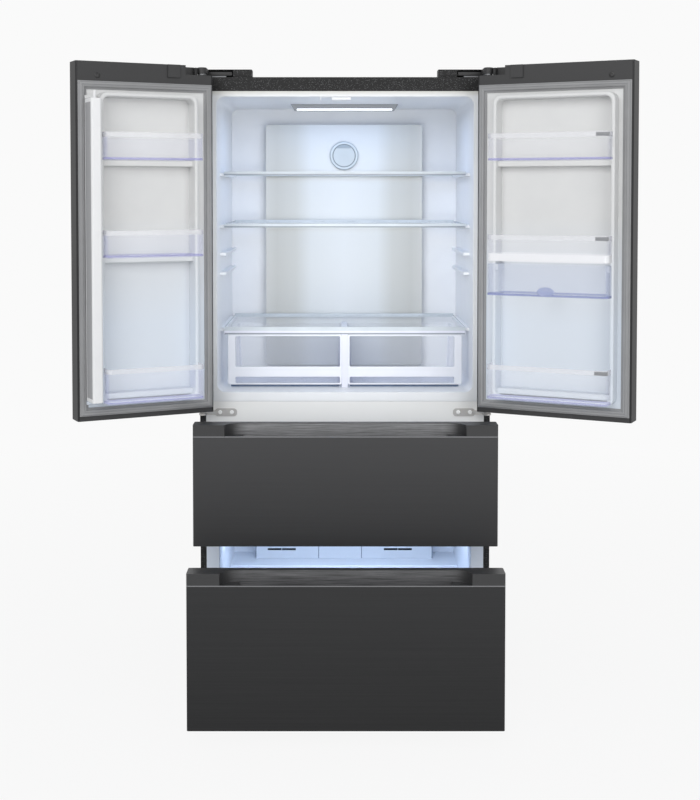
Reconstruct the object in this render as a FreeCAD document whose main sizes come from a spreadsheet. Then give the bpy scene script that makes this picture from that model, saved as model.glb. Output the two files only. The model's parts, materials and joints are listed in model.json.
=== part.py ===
import FreeCAD
import Part
import Sketcher
import math
import os
import re

# French-door fridge with two freezer drawers, in millimetres. Every piece is drawn where it sits
# with all doors and drawers closed: x from the cabinet's middle, y back from the cabinet's front
# plane, z up from the floor. A frame then carries it to the open pose that is the model's rest.

DIMENSIONS = {
    # Cabinet and its two liners
    "cabinet_width": 840,
    "cabinet_depth": 650,
    "cabinet_top": 1797,
    "cabinet_shift": -22,
    "sheet": 1,
    "side_return": 17.5,
    "top_return": 40,
    "rear_inset": 4,
    "bead_width": 26,
    "bead_proud": 2,
    "bead_radius": 8,
    "bead_pitch": 180,
    "bead_margin": 120,
    "liner_wall": 2,
    "liner_radius": 24,
    "fridge_width": 740,
    "fridge_floor": 888,
    "fridge_ceiling": 1741,
    "fridge_depth": 560,
    "freezer_width": 730,
    "freezer_floor": 95,
    "freezer_depth": 560,
    "freezer_flange_bottom": 52,
    "step_depth": 400,
    "step_height": 270,
    "rail_bottom": 800,
    "rail_top": 861,
    "rail_depth": 30,
    "middle_rail_bottom": 441,
    "middle_rail_top": 514,
    # Base, feet and machine compartment
    "foot_height": 30,
    "foot_radius": 20,
    "foot_pad": 9,
    "foot_cone": 6,
    "foot_stem": 5,
    "foot_margin": 60,
    "tray_height": 14,
    "tray_sheet": 2,
    "machine_depth": 210,
    "machine_height": 246,
    "slot_width": 6,
    "slot_height": 120,
    "slot_pitch": 24,
    "slot_radius": 2,
    "compressor_radius": 74,
    "compressor_height": 150,
    "compressor_dome": 60,
    "compressor_inset": 220,
    "mount_height": 12,
    "mount_radius": 11,
    "mount_plate": 3,
    "mount_span": 130,
    "coil_width": 300,
    "coil_side_gap": 60,
    "coil_depth": 120,
    "coil_height": 130,
    "fin_thickness": 1.5,
    "tube_radius": 4,
    # Cold-air parts
    "evaporator_width": 460,
    "evaporator_bottom": 330,
    "evaporator_height": 210,
    "evaporator_depth": 60,
    "freezer_duct_width": 578,
    "freezer_duct_front": 478,
    "freezer_duct_wall": 5,
    "freezer_duct_top": 780,
    "vent_width": 92,
    "vent_height": 7,
    "vent_rise": 27,
    "vent_left": 250,
    "vent_right": 130,
    "vent_pitch": 14,
    "seam_width": 2,
    "seam_depth": 1.5,
    "seam_left": 83,
    "seam_right": 57,
    "fan_level": 660,
    "fan_radius": 58,
    "fan_hub_radius": 20,
    "fan_hub_length": 22,
    "fan_blade_width": 30,
    "fan_blade_thickness": 2,
    "fan_pitch_angle": 32,
    "fan_clearance": 4,
    "fan_shaft_radius": 3,
    "motor_radius": 24,
    "motor_length": 26,
    "duct_width": 510,
    "duct_front": 522,
    "duct_bottom": 900,
    "duct_top": 1688,
    "duct_radius": 8,
    "duct_wall": 4,
    "duct_outlet_depth": 16,
    "duct_outlet_height": 70,
    "duct_outlet_radius": 5,
    "duct_outlet_setback": 11,
    "duct_outlet_level": 1130,
    "duct_outlet_pitch": 150,
    "cap_level": 1587,
    "cap_radius": 46,
    "cap_ring": 9,
    "cap_thickness": 14,
    "cap_recess": 3,
    "cap_edge": 3,
    "cap_stem_radius": 9,
    "cap_stem_length": 12,
    "cap_boss": 46,
    "cap_boss_radius": 15,
    "fit_clearance": 0.05,
    # Lamp, shelves and crispers
    "lamp_width": 335,
    "lamp_depth": 34,
    "lamp_height": 20,
    "lamp_draft": 12,
    "lamp_front": 312,
    "rib_proud": 18,
    "rib_height": 9,
    "rib_front": 110,
    "rib_back": 496,
    "shelf_front": 94,
    "shelf_back": 512,
    "shelf_side_gap": 13,
    "shelf_trim_height": 11,
    "shelf_trim_depth": 12,
    "glass_thickness": 4,
    "upper_shelf_level": 1528,
    "middle_shelf_level": 1374,
    "cover_level": 1068,
    "spare_upper_level": 1288,
    "spare_lower_level": 1230,
    "crisper_band": 11,
    "crisper_post": 18,
    "crisper_side_gap": 23.7,
    "crisper_bottom": 897,
    "crisper_top": 1046,
    "crisper_front_depth": 10,
    "crisper_back": 500,
    "crisper_wall": 2.5,
    "crisper_outer_upright": 22,
    "crisper_inner_upright": 5,
    "crisper_trim": 4,
    "crisper_grip_bottom": 920,
    "crisper_grip_top": 950,
    "crisper_top_rail": 5,
    "slide_clearance": 0.3,
    "tub_draft": 6,
    "tub_radius": 16,
    # Doors and drawer fronts
    "gasket_gap": 12,
    "gasket_clearance": 1.2,
    "gasket_width": 23,
    "gasket_inset": 5,
    "front_thickness": 60,
    "front_radius": 5,
    "door_bottom": 846,
    "door_top": 1819,
    "left_door_width": 392,
    "right_door_width": 441,
    "open_angle": 153.5,
    "hinge_inset": 15,
    "hinge_setback": 15,
    "top_cap": 53,
    "bottom_cap": 14,
    "cap_lip": 3,
    "notch_width": 80,
    "notch_open": 36,
    "notch_floor": 1793,
    "notch_wall": 5,
    "stop_size": 36,
    "stop_proud": 4,
    "stop_reach": 97,
    "dyke_bottom": 892,
    "dyke_top": 1734,
    "dyke_proud": 40,
    "dyke_wall": 11,
    "dyke_radius": 22,
    "dyke_edge": 4,
    "dyke_recess": 8,
    "hinge_margin": 58,
    "flap_margin": 54,
    "free_margin": 40,
    "ledge_height": 16,
    "ledge_depth": 30,
    # Door bins
    "bin_front": 79,
    "bin_wall": 2.5,
    "bin_radius": 14,
    "bin_clearance": 0.4,
    "bin_side_gap": 2,
    "bin_rail_height": 13,
    "bin_rail_wall": 4,
    "upper_bin_floor": 1553,
    "upper_bin_height": 60,
    "left_middle_bin_floor": 1291,
    "left_middle_bin_height": 60,
    "right_middle_bin_floor": 1279,
    "right_middle_bin_height": 58,
    "right_bin_base": 18,
    "lower_bin_floor": 900,
    "lower_bin_height": 81,
    "lower_bin_lift": 22,
    "snack_bottom": 1185,
    "snack_height": 86,
    "snack_flange": 8,
    "snack_flange_height": 3,
    # Folding flap between the doors
    "flap_width": 65,
    "flap_thickness": 29,
    "flap_bottom": 905,
    "flap_top": 1715,
    "flap_pivot_inset": 24.5,
    "flap_pivot_radius": 4.5,
    "flap_edge_radius": 6,
    "flap_pin_radius": 2.5,
    "flap_pin_length": 8,
    "lug_height": 10,
    "lug_gap": 1,
    "guide_pin_radius": 4,
    "guide_pin_reach": 40,
    "guide_pin_depth": 11,
    "guide_pin_height": 22,
    "guide_left": -72,
    "guide_width": 89,
    "guide_front": 5,
    "guide_depth": 30,
    "guide_height": 9,
    "guide_wall": 3,
    "groove_depth": 7,
    "groove_width": 30,
    # Hinges
    "hinge_pin_radius": 5,
    "hinge_arm_width": 24,
    "hinge_plate": 4,
    "top_hinge_length": 75,
    "top_hinge_depth": 44,
    "hinge_cover_length": 152,
    "hinge_cover_depth": 58,
    "hinge_cover_wall": 2,
    "top_pin_length": 24,
    "low_hinge_bottom": 818,
    "low_hinge_height": 23,
    "low_hinge_left": 43,
    "low_hinge_length": 64,
    "low_hinge_radius": 9.5,
    "low_arm_lap": 8,
    "low_arm_level": 831,
    "low_pin_length": 20,
    # Freezer drawers
    "upper_panel_bottom": 491,
    "upper_panel_top": 793,
    "lower_panel_bottom": 45,
    "lower_panel_top": 430,
    "upper_pull": 134,
    "lower_pull": 308,
    "grip_height": 34,
    "scoop_width": 667,
    "scoop_depth": 40,
    "scoop_radius": 50,
    "grip_wall": 3,
    "grip_pocket": 22,
    "drawer_gasket_bottom": 6,
    "drawer_gasket_top": 12,
    "slide_front": 32,
    "slide_length": 360,
    "slide_height": 46,
    "slide_sheet": 1.5,
    "slide_gap": 0.4,
    "slide_flange": 12,
    "runner_bar": 6,
    "carrier_wall": 3,
    "carrier_ledge": 24,
    "carrier_drop": 8,
    "upper_slide_level": 532,
    "lower_slide_level": 134,
    "basket_wall": 3,
    "basket_front": 8,
    "basket_gap": 1,
    "basket_radius": 26,
    "basket_draft": 3,
    "upper_basket_depth": 420,
    "lower_basket_depth": 372,
    "upper_basket_height": 170,
    "lower_basket_height": 214,
}

document = FreeCAD.newDocument("fridge_freezer")
sheet = document.addObject("Spreadsheet::Sheet", "Dims")
for row, (alias, size) in enumerate(DIMENSIONS.items(), start=1):
    sheet.set(f"A{row}", alias)
    sheet.set(f"B{row}", str(size))
    sheet.setAlias(f"B{row}", alias)
document.recompute()

# Places that several pieces share, as formulas in the sheet's names
HALF = "(cabinet_width/2)"
FRONT_FACE = "(-gasket_gap - front_thickness)"
INNER_FACE = "(-gasket_gap)"
FLANGE_HALF = "(cabinet_width/2 - side_return)"
BASE_TOP = "(foot_height + tray_height)"
FREEZER_CEILING = "(rail_bottom - liner_wall)"
REAR_SKIN = "(cabinet_depth - rear_inset - sheet)"
MACHINE_FRONT = "(cabinet_depth - machine_depth)"
HINGE_X = "(cabinet_width/2 - hinge_inset)"
HINGE_Y = "(-gasket_gap - front_thickness + hinge_setback)"
DYKE_TIP = "(dyke_proud - gasket_gap)"
DYKE_FLOOR = "(-gasket_gap - dyke_recess)"
LEFT_FREE = "(left_door_width - cabinet_width/2)"
RIGHT_FREE = "(cabinet_width/2 - right_door_width)"
PIVOT_X = "(left_door_width - cabinet_width/2 - flap_pivot_inset)"
PIVOT_Y = "flap_pivot_radius"
FRONT_SHIFT = "((gasket_gap + front_thickness + lower_pull - cabinet_depth)/2)"
SHELF_WIDTH = "(fridge_width - 2*shelf_side_gap)"
CRISPER_WIDTH = "(fridge_width/2 - crisper_post/2 - slide_clearance - crisper_side_gap)"
SCOOP_FLAT = "(scoop_width - 2*scoop_radius)"

WORD = re.compile(r"[a-z][a-z_]*")
PLANE_ROLES = {"floor": "XY_Plane", "front": "XZ_Plane", "side": "YZ_Plane"}
FAN_BLADES = 5
REAR_BEADS = 4
COVER_SLOTS = 26
CONDENSER_FINS = 16
EVAPORATOR_FINS = 20
DUCT_OUTLETS = 4
FREEZER_VENTS = 2
TUBE_DEPTHS = ("0.3", "0.7")
TUBE_LEVELS = ("0.25", "0.75")
TOUCH = 0.01
nodes = {}


def formula(text):
    """Write an expression in sheet names as one the document can bind."""
    return WORD.sub(
        lambda word: f"Dims.{word.group()}" if word.group() in DIMENSIONS else word.group(), str(text)
    )


def bind(thing, target, text):
    thing.setExpression(target, formula(text))


def seat(thing, corner):
    """Bind a primitive's own corner or centre."""
    for letter, text in zip("xyz", corner):
        bind(thing, f"Placement.Base.{letter}", text)


def block(name, size, corner):
    box = document.addObject("Part::Box", name)
    for side, text in zip(("Length", "Width", "Height"), size):
        bind(box, side, text)
    seat(box, corner)
    return box


TURNS = {
    "x": FreeCAD.Rotation(FreeCAD.Vector(0, 1, 0), 90),
    "y": FreeCAD.Rotation(FreeCAD.Vector(1, 0, 0), -90),
    "z": FreeCAD.Rotation(),
}


def rod(name, radius, length, start, axis="z", far_radius=None):
    """A cylinder from a start point along an axis, or a cone where the far end differs."""
    kind = "Part::Cylinder" if far_radius is None else "Part::Cone"
    piece = document.addObject(kind, name)
    if far_radius is None:
        bind(piece, "Radius", radius)
    else:
        bind(piece, "Radius1", radius)
        bind(piece, "Radius2", far_radius)
    bind(piece, "Height", length)
    piece.Placement = FreeCAD.Placement(FreeCAD.Vector(), TURNS[axis])
    seat(piece, start)
    return piece


def join(name, pieces):
    fused = document.addObject("Part::MultiFuse", name)
    fused.Shapes = pieces
    return fused


def cut(name, base, tools):
    result = document.addObject("Part::Cut", name)
    result.Base = base
    result.Tool = tools[0] if len(tools) == 1 else join(f"{name}_tools", tools)
    return result


def round_edges(name, base, radius, wanted):
    """Fillet the edges of a shape that the wanted function picks."""
    document.recompute()
    size = getattr(sheet, radius)
    picks = [(number, size, size) for number, edge in enumerate(base.Shape.Edges, start=1) if wanted(edge)]
    fillet = document.addObject("Part::Fillet", name)
    fillet.Base = base
    fillet.Edges = picks
    return fillet


def draw_rectangle(sketch, width, height):
    corners = [(0, 0), (100, 0), (100, 60), (0, 60)]
    for start, end in zip(corners, corners[1:] + corners[:1]):
        sketch.addGeometry(Part.LineSegment(FreeCAD.Vector(*start, 0), FreeCAD.Vector(*end, 0)))
    for side in range(4):
        sketch.addConstraint(Sketcher.Constraint("Coincident", side, 2, (side + 1) % 4, 1))
        way = "Vertical" if side % 2 else "Horizontal"
        sketch.addConstraint(Sketcher.Constraint(way, side))
    sketch.addConstraint(Sketcher.Constraint("Coincident", 0, 1, -1, 1))
    across = sketch.addConstraint(Sketcher.Constraint("DistanceX", 0, 1, 0, 2, 100))
    up = sketch.addConstraint(Sketcher.Constraint("DistanceY", 1, 1, 1, 2, 60))
    bind(sketch, f"Constraints[{across}]", width)
    bind(sketch, f"Constraints[{up}]", height)


def draw_rounded(sketch, width, height, radius):
    """Rectangle from the sketch's origin with four equal round corners."""
    wide, tall, curve = 100, 60, 10
    lines = [
        ((curve, 0), (wide - curve, 0)),
        ((wide, curve), (wide, tall - curve)),
        ((wide - curve, tall), (curve, tall)),
        ((0, tall - curve), (0, curve)),
    ]
    centres = [(wide - curve, curve), (wide - curve, tall - curve), (curve, tall - curve), (curve, curve)]
    for corner in range(4):
        start, end = lines[corner]
        sketch.addGeometry(Part.LineSegment(FreeCAD.Vector(*start, 0), FreeCAD.Vector(*end, 0)))
        circle = Part.Circle(FreeCAD.Vector(*centres[corner], 0), FreeCAD.Vector(0, 0, 1), curve)
        first = (corner - 1) * math.pi / 2
        sketch.addGeometry(Part.ArcOfCircle(circle, first, first + math.pi / 2))
    for piece in range(8):
        sketch.addConstraint(Sketcher.Constraint("Tangent", piece, 2, (piece + 1) % 8, 1))
    for line, way in ((0, "Horizontal"), (2, "Vertical"), (4, "Horizontal"), (6, "Vertical")):
        sketch.addConstraint(Sketcher.Constraint(way, line))
    for arc in (3, 5, 7):
        sketch.addConstraint(Sketcher.Constraint("Equal", 1, arc))
    sketch.addConstraint(Sketcher.Constraint("PointOnObject", 0, 1, -1))
    sketch.addConstraint(Sketcher.Constraint("PointOnObject", 6, 1, -2))
    bend = sketch.addConstraint(Sketcher.Constraint("Radius", 1, curve))
    across = sketch.addConstraint(Sketcher.Constraint("DistanceX", 6, 1, 2, 1, wide))
    up = sketch.addConstraint(Sketcher.Constraint("DistanceY", 0, 1, 4, 1, tall))
    bind(sketch, f"Constraints[{across}]", width)
    bind(sketch, f"Constraints[{up}]", height)
    bind(sketch, f"Constraints[{bend}]", radius)


def draw_circle(sketch, radius):
    circle = Part.Circle(FreeCAD.Vector(0, 0, 0), FreeCAD.Vector(0, 0, 1), 10)
    sketch.addGeometry(circle)
    sketch.addConstraint(Sketcher.Constraint("Coincident", 0, 3, -1, 1))
    bend = sketch.addConstraint(Sketcher.Constraint("Radius", 0, 10))
    bind(sketch, f"Constraints[{bend}]", radius)


def new_body(name):
    return document.addObject("PartDesign::Body", name)


def new_sketch(body, plane, corner):
    """An empty sketch on one of the body's own planes, moved to the outline's lower corner."""
    sketch = body.newObject("Sketcher::SketchObject", f"{body.Name}_sketch")
    role = PLANE_ROLES[plane]
    support = next(item for item in body.Origin.OriginFeatures if item.Role == role)
    sketch.AttachmentSupport = [(support, "")]
    sketch.MapMode = "FlatFace"
    x, y, z = corner
    offset = {"floor": (x, y, z), "front": (x, z, f"-({y})"), "side": (y, z, x)}[plane]
    for letter, text in zip("xyz", offset):
        bind(sketch, f"AttachmentOffset.Base.{letter}", text)
    return sketch


def outline(body, plane, corner, size, radius):
    sketch = new_sketch(body, plane, corner)
    if radius is None:
        draw_rectangle(sketch, *size)
    else:
        draw_rounded(sketch, *size, radius)
    return sketch


def solid(body, plane, corner, size, depth, radius=None):
    """Add a prism from its lower corner, along +z on the floor plane, +y on front, +x on side."""
    pad = body.newObject("PartDesign::Pad", f"{body.Name}_pad")
    pad.Profile = outline(body, plane, corner, size, radius)
    pad.Reversed = plane == "front"
    bind(pad, "Length", depth)
    return pad


def hollow(body, plane, corner, size, depth, radius=None):
    """Cut a prism from its lower corner, the same way that solid adds one."""
    pocket = body.newObject("PartDesign::Pocket", f"{body.Name}_pocket")
    pocket.Profile = outline(body, plane, corner, size, radius)
    pocket.Reversed = plane != "front"
    bind(pocket, "Length", depth)
    return pocket


def bore(body, plane, centre, radius, depth):
    pocket = body.newObject("PartDesign::Pocket", f"{body.Name}_bore")
    sketch = new_sketch(body, plane, centre)
    draw_circle(sketch, radius)
    pocket.Profile = sketch
    pocket.Reversed = plane != "front"
    bind(pocket, "Length", depth)
    return pocket


def taper(body, kind, plane, near, far, radius):
    """Loft between two outlines, each a corner with its size, adding or cutting."""
    loft = body.newObject(f"PartDesign::{kind}Loft", f"{body.Name}_loft")
    loft.Profile = outline(body, plane, *near, radius)
    loft.Sections = [outline(body, plane, *far, radius)]
    loft.Ruled = True
    return loft


def soften(body, radius, wanted):
    """Fillet the edges of a body's last shape that the wanted function picks."""
    document.recompute()
    last = body.Tip
    picks = [f"Edge{number}" for number, edge in enumerate(last.Shape.Edges, start=1) if wanted(edge)]
    fillet = body.newObject("PartDesign::Fillet", f"{body.Name}_fillet")
    fillet.Base = (last, picks)
    bind(fillet, "Radius", radius)
    body.Tip = fillet
    return fillet


def repeat(body, feature, axis, count, pitch):
    """A row of one feature along a base axis of the body."""
    row = body.newObject("PartDesign::LinearPattern", f"{body.Name}_row")
    row.Originals = [feature]
    line = next(item for item in body.Origin.OriginFeatures if item.Role == f"{axis}_Axis")
    row.Direction = (line, [""])
    row.Occurrences = count
    bind(row, "Length", f"({count - 1})*{pitch}")
    body.Tip = row
    return row


def frame_ring(body, plane, corner, size, band, depth, radius):
    """A rounded frame of even width, such as a door seal."""
    x, y, z = corner
    wide, tall = size
    solid(body, plane, corner, size, depth, radius)
    inner_size = (f"{wide} - 2*({band})", f"{tall} - 2*({band})")
    inner = (f"{x} + {band}", f"{y} - sheet", f"{z} + {band}")
    hollow(body, plane, inner, inner_size, f"{depth} + 2*sheet", radius)


def tub(body, corner, size, height, wall, draft, radius):
    """An open-topped bin whose walls lean out by the draft from floor to rim."""
    x, y, z = corner
    wide, deep = size
    near = ((f"{x} + {draft}", f"{y} + {draft}", z), (f"{wide} - 2*{draft}", f"{deep} - 2*{draft}"))
    far = ((x, y, f"{z} + {height}"), (wide, deep))
    taper(body, "Additive", "floor", near, far, radius)
    near = (
        (f"{x} + {draft} + {wall}", f"{y} + {draft} + {wall}", f"{z} + {wall}"),
        (f"{wide} - 2*{draft} - 2*{wall}", f"{deep} - 2*{draft} - 2*{wall}"),
    )
    far = (
        (f"{x} + {wall}", f"{y} + {wall}", f"{z} + {height} + sheet"),
        (f"{wide} - 2*{wall}", f"{deep} - 2*{wall}"),
    )
    taper(body, "Subtractive", "floor", near, far, f"{radius} - {wall}")


def turned(angle, pivot):
    """The move that turns a piece about a vertical line and then adds the cabinet's shift."""
    x, y = pivot
    base_x = f"cabinet_shift + ({x}) - (({x})*cos({angle}) - ({y})*sin({angle}))"
    base_y = f"{FRONT_SHIFT} + ({y}) - (({x})*sin({angle}) + ({y})*cos({angle}))"
    return base_x, base_y, "0", angle


def slid(pull):
    return "cabinet_shift", f"{FRONT_SHIFT} - ({pull})", "0", None


def folded_flap():
    """The flap turned a quarter about its own pivot, then swung open with the left door."""
    swing = "(-open_angle)"
    turn = "(90 - open_angle)"
    hinge_x = f"(-{HINGE_X})"
    reach_x = f"({PIVOT_X} - {hinge_x})"
    reach_y = f"({PIVOT_Y} - {HINGE_Y})"
    pivot_x = f"({hinge_x} + {reach_x}*cos({swing}) - {reach_y}*sin({swing}))"
    pivot_y = f"({HINGE_Y} + {reach_x}*sin({swing}) + {reach_y}*cos({swing}))"
    base_x = f"cabinet_shift + {pivot_x} - ({PIVOT_X}*cos({turn}) - {PIVOT_Y}*sin({turn}))"
    base_y = f"{FRONT_SHIFT} + {pivot_y} - ({PIVOT_X}*sin({turn}) + {PIVOT_Y}*cos({turn}))"
    return base_x, base_y, "0", turn


FRAMES = {
    "cabinet": slid("0"),
    "upper_drawer": slid("upper_pull"),
    "lower_drawer": slid("lower_pull"),
    "upper_slides": slid("upper_pull/2"),
    "lower_slides": slid("lower_pull/2"),
    "left_door": turned("(-open_angle)", (f"-{HINGE_X}", HINGE_Y)),
    "right_door": turned("open_angle", (HINGE_X, HINGE_Y)),
    "mullion_flap": folded_flap(),
}


def settle(piece, name, frame="cabinet"):
    """Name a finished sub-part and carry it from the closed place to its rest place."""
    piece.Label = name
    base_x, base_y, base_z, angle = FRAMES[frame]
    seat(piece, (base_x, base_y, base_z))
    if angle is not None:
        piece.Placement = FreeCAD.Placement(FreeCAD.Vector(), FreeCAD.Rotation(FreeCAD.Vector(0, 0, 1), 30))
        seat(piece, (base_x, base_y, base_z))
        bind(piece, "Placement.Rotation.Angle", angle)
    nodes[name] = piece


def make_shell():
    """Steel wrapper: sides and top, folded in to a narrow return round the front."""
    body = new_body("cabinet_shell")
    height = f"cabinet_top - {BASE_TOP}"
    solid(body, "front", (f"-{HALF}", "0", BASE_TOP), ("cabinet_width", height), "cabinet_depth")
    inside = (f"sheet - {HALF}", "sheet", f"{BASE_TOP} - sheet")
    hollow(body, "front", inside, ("cabinet_width - 2*sheet", height), "cabinet_depth")
    mouth = (f"-{FLANGE_HALF}", "-sheet", f"{BASE_TOP} - sheet")
    hollow(body, "front", mouth, (f"2*{FLANGE_HALF}", f"{height} - top_return + sheet"), "3*sheet")
    settle(body, "cabinet_shell")


def make_rear_panel():
    """Back sheet with upright pressed beads that keep it from drumming."""
    body = new_body("rear_panel")
    height = "cabinet_top - sheet - machine_height"
    corner = (f"sheet - {HALF}", REAR_SKIN, "machine_height")
    solid(body, "front", corner, ("cabinet_width - 2*sheet", height), "sheet")
    first_x = f"-{REAR_BEADS - 1}*bead_pitch/2 - bead_width/2"
    first = (first_x, f"{REAR_SKIN} + sheet", "machine_height + bead_margin")
    bead_size = ("bead_width", f"{height} - 2*bead_margin")
    bead = solid(body, "front", first, bead_size, "bead_proud", "bead_radius")
    repeat(body, bead, "X", REAR_BEADS, "bead_pitch")
    settle(body, "rear_panel")


def make_foam():
    """Foamed-in insulation between the wrapper and the two liners."""
    body = new_body("insulation_foam")
    start = (f"sheet - {HALF}", "liner_wall", BASE_TOP)
    size = ("cabinet_width - 2*sheet", f"cabinet_top - sheet - {BASE_TOP}")
    solid(body, "front", start, size, f"{REAR_SKIN} - liner_wall")
    fridge = ("-fridge_width/2 - liner_wall", "0", "fridge_floor - liner_wall")
    fridge_size = ("fridge_width + 2*liner_wall", "fridge_ceiling - fridge_floor + 2*liner_wall")
    hollow(body, "front", fridge, fridge_size, "fridge_depth + liner_wall", "liner_radius + liner_wall")
    width = "freezer_width + 2*liner_wall"
    low = ("-freezer_width/2 - liner_wall", "0", "freezer_floor - liner_wall")
    low_size = (width, f"{FREEZER_CEILING} - freezer_floor + 2*liner_wall")
    hollow(body, "front", low, low_size, "step_depth + liner_wall")
    high = ("-freezer_width/2 - liner_wall", "0", "step_height - liner_wall")
    high_size = (width, f"{FREEZER_CEILING} - step_height + 2*liner_wall")
    hollow(body, "front", high, high_size, "freezer_depth + liner_wall")
    machine = (f"-{HALF}", MACHINE_FRONT, f"{BASE_TOP} - sheet")
    hollow(
        body, "front", machine, ("cabinet_width", f"machine_height - {BASE_TOP} + sheet"), "machine_depth"
    )
    rail = (f"-{FLANGE_HALF}", "0", "rail_bottom")
    hollow(body, "front", rail, (f"2*{FLANGE_HALF}", "rail_top - rail_bottom"), "rail_depth")
    settle(body, "insulation_foam")


def make_fridge_liner():
    """Vacuum-formed fridge liner with a front flange and moulded shelf ledges."""
    body = new_body("fridge_liner")
    outer = ("-fridge_width/2 - liner_wall", "0", "fridge_floor - liner_wall")
    outer_size = ("fridge_width + 2*liner_wall", "fridge_ceiling - fridge_floor + 2*liner_wall")
    solid(body, "front", outer, outer_size, "fridge_depth + liner_wall", "liner_radius + liner_wall")
    flange = (f"-{FLANGE_HALF}", "0", "rail_top")
    solid(body, "front", flange, (f"2*{FLANGE_HALF}", "cabinet_top - top_return - rail_top"), "liner_wall")
    inner = ("-fridge_width/2", "-sheet", "fridge_floor")
    inner_size = ("fridge_width", "fridge_ceiling - fridge_floor")
    hollow(body, "front", inner, inner_size, "fridge_depth + sheet", "liner_radius")
    levels = ["upper_shelf_level", "middle_shelf_level", "cover_level"]
    levels = [f"{level} - glass_thickness" for level in levels] + ["spare_upper_level", "spare_lower_level"]
    for level in levels:
        for start in ("-fridge_width/2", "fridge_width/2 - rib_proud"):
            corner = (start, "rib_front", f"{level} - rib_height")
            solid(body, "front", corner, ("rib_proud", "rib_height"), "rib_back - rib_front")
    settle(body, "fridge_liner")


def make_freezer_liner():
    """Freezer liner, stepped at the back to pass over the machine compartment."""
    body = new_body("freezer_liner")
    width = "freezer_width + 2*liner_wall"
    low = ("-freezer_width/2 - liner_wall", "0", "freezer_floor - liner_wall")
    low_size = (width, f"{FREEZER_CEILING} - freezer_floor + 2*liner_wall")
    solid(body, "front", low, low_size, "step_depth + liner_wall")
    high = ("-freezer_width/2 - liner_wall", "0", "step_height - liner_wall")
    high_size = (width, f"{FREEZER_CEILING} - step_height + 2*liner_wall")
    solid(body, "front", high, high_size, "freezer_depth + liner_wall")
    flange = (f"-{FLANGE_HALF}", "0", "freezer_flange_bottom")
    solid(body, "front", flange, (f"2*{FLANGE_HALF}", "rail_bottom - freezer_flange_bottom"), "liner_wall")
    low = ("-freezer_width/2", "-sheet", "freezer_floor")
    hollow(
        body, "front", low, ("freezer_width", f"{FREEZER_CEILING} - freezer_floor"), "step_depth + sheet"
    )
    high = ("-freezer_width/2", "-sheet", "step_height")
    hollow(
        body, "front", high, ("freezer_width", f"{FREEZER_CEILING} - step_height"), "freezer_depth + sheet"
    )
    settle(body, "freezer_liner")


def make_front_rails():
    """Cross rails that the door and drawer seals close against."""
    top_size = (f"2*{FLANGE_HALF}", "rail_depth", "rail_top - rail_bottom")
    top = block("top_rail", top_size, (f"-{FLANGE_HALF}", "0", "rail_bottom"))
    middle_size = ("freezer_width", "rail_depth", "middle_rail_top - middle_rail_bottom")
    middle = block("middle_rail", middle_size, ("-freezer_width/2", "0", "middle_rail_bottom"))
    settle(join("front_rails", [top, middle]), "front_rails")


def make_base():
    """Pressed base tray, open underneath, on four screw feet."""
    body = new_body("base_tray")
    tray = (f"-{HALF}", "side_return", "foot_height")
    deep = "cabinet_depth - side_return - rear_inset"
    solid(body, "floor", tray, ("cabinet_width", deep), "tray_height", "front_radius")
    under = (f"tray_sheet - {HALF}", "side_return + tray_sheet", "foot_height - sheet")
    size = ("cabinet_width - 2*tray_sheet", f"{deep} - 2*tray_sheet")
    hollow(body, "floor", under, size, "tray_height - tray_sheet + sheet", "front_radius - tray_sheet")
    settle(body, "base_tray")
    pieces = []
    for side in ("-1", "1"):
        for depth in ("side_return + foot_margin", "cabinet_depth - rear_inset - foot_margin"):
            x = f"{side}*({HALF} - foot_margin)"
            pieces.append(rod("foot_pad", "foot_radius", "foot_pad", (x, depth, "0")))
            pieces.append(
                rod("foot_cone", "foot_radius", "foot_cone", (x, depth, "foot_pad"), "z", "foot_stem")
            )
            stem = f"{BASE_TOP} - tray_sheet - foot_pad"
            pieces.append(rod("foot_stem", "foot_stem", stem, (x, depth, "foot_pad")))
    settle(join("leveling_feet", pieces), "leveling_feet")


def make_machine():
    """Compressor on rubber mounts, finned condenser and the slotted cover behind them."""
    middle_y = f"({MACHINE_FRONT} + machine_depth/2 - rear_inset)"
    centre_x = f"(compressor_inset - {HALF})"
    floor = f"({BASE_TOP} + mount_height)"
    foot = (centre_x, middle_y, f"{floor} + mount_plate")
    can = rod("compressor_can", "compressor_radius", "compressor_height", foot)
    can = round_edges("compressor_dome", can, "compressor_dome", lambda edge: len(edge.Vertexes) == 1)
    corner = (f"{centre_x} - mount_span/2", f"{middle_y} - mount_span/2", floor)
    plate = block("compressor_plate", ("mount_span", "mount_span", "mount_plate"), corner)
    pieces = [can, plate]
    for side in ("-1", "1"):
        for way in ("-1", "1"):
            reach = "(mount_span/2 - mount_radius)"
            spot = (f"{centre_x} + {side}*{reach}", f"{middle_y} + {way}*{reach}", BASE_TOP)
            pieces.append(rod("compressor_mount", "mount_radius", "mount_height", spot))
    settle(join("compressor", pieces), "compressor")

    coil = (f"({HALF} - coil_side_gap - coil_width)", f"({middle_y} - coil_depth/2)", BASE_TOP)
    coil_size = ("coil_width", "coil_depth", "coil_height")
    settle(finned_coil("condenser_coil", coil, coil_size, CONDENSER_FINS), "condenser_coil")

    body = new_body("machine_cover")
    size = ("cabinet_width - 2*sheet", f"machine_height - {BASE_TOP}")
    solid(body, "front", (f"sheet - {HALF}", REAR_SKIN, BASE_TOP), size, "sheet")
    slot_x = f"-{COVER_SLOTS - 1}*slot_pitch/2 - slot_width/2"
    slot_corner = (slot_x, f"{REAR_SKIN} - sheet", f"({BASE_TOP} + machine_height - slot_height)/2")
    slot = hollow(body, "front", slot_corner, ("slot_width", "slot_height"), "3*sheet", "slot_radius")
    repeat(body, slot, "X", COVER_SLOTS, "slot_pitch")
    settle(body, "machine_cover")


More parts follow.
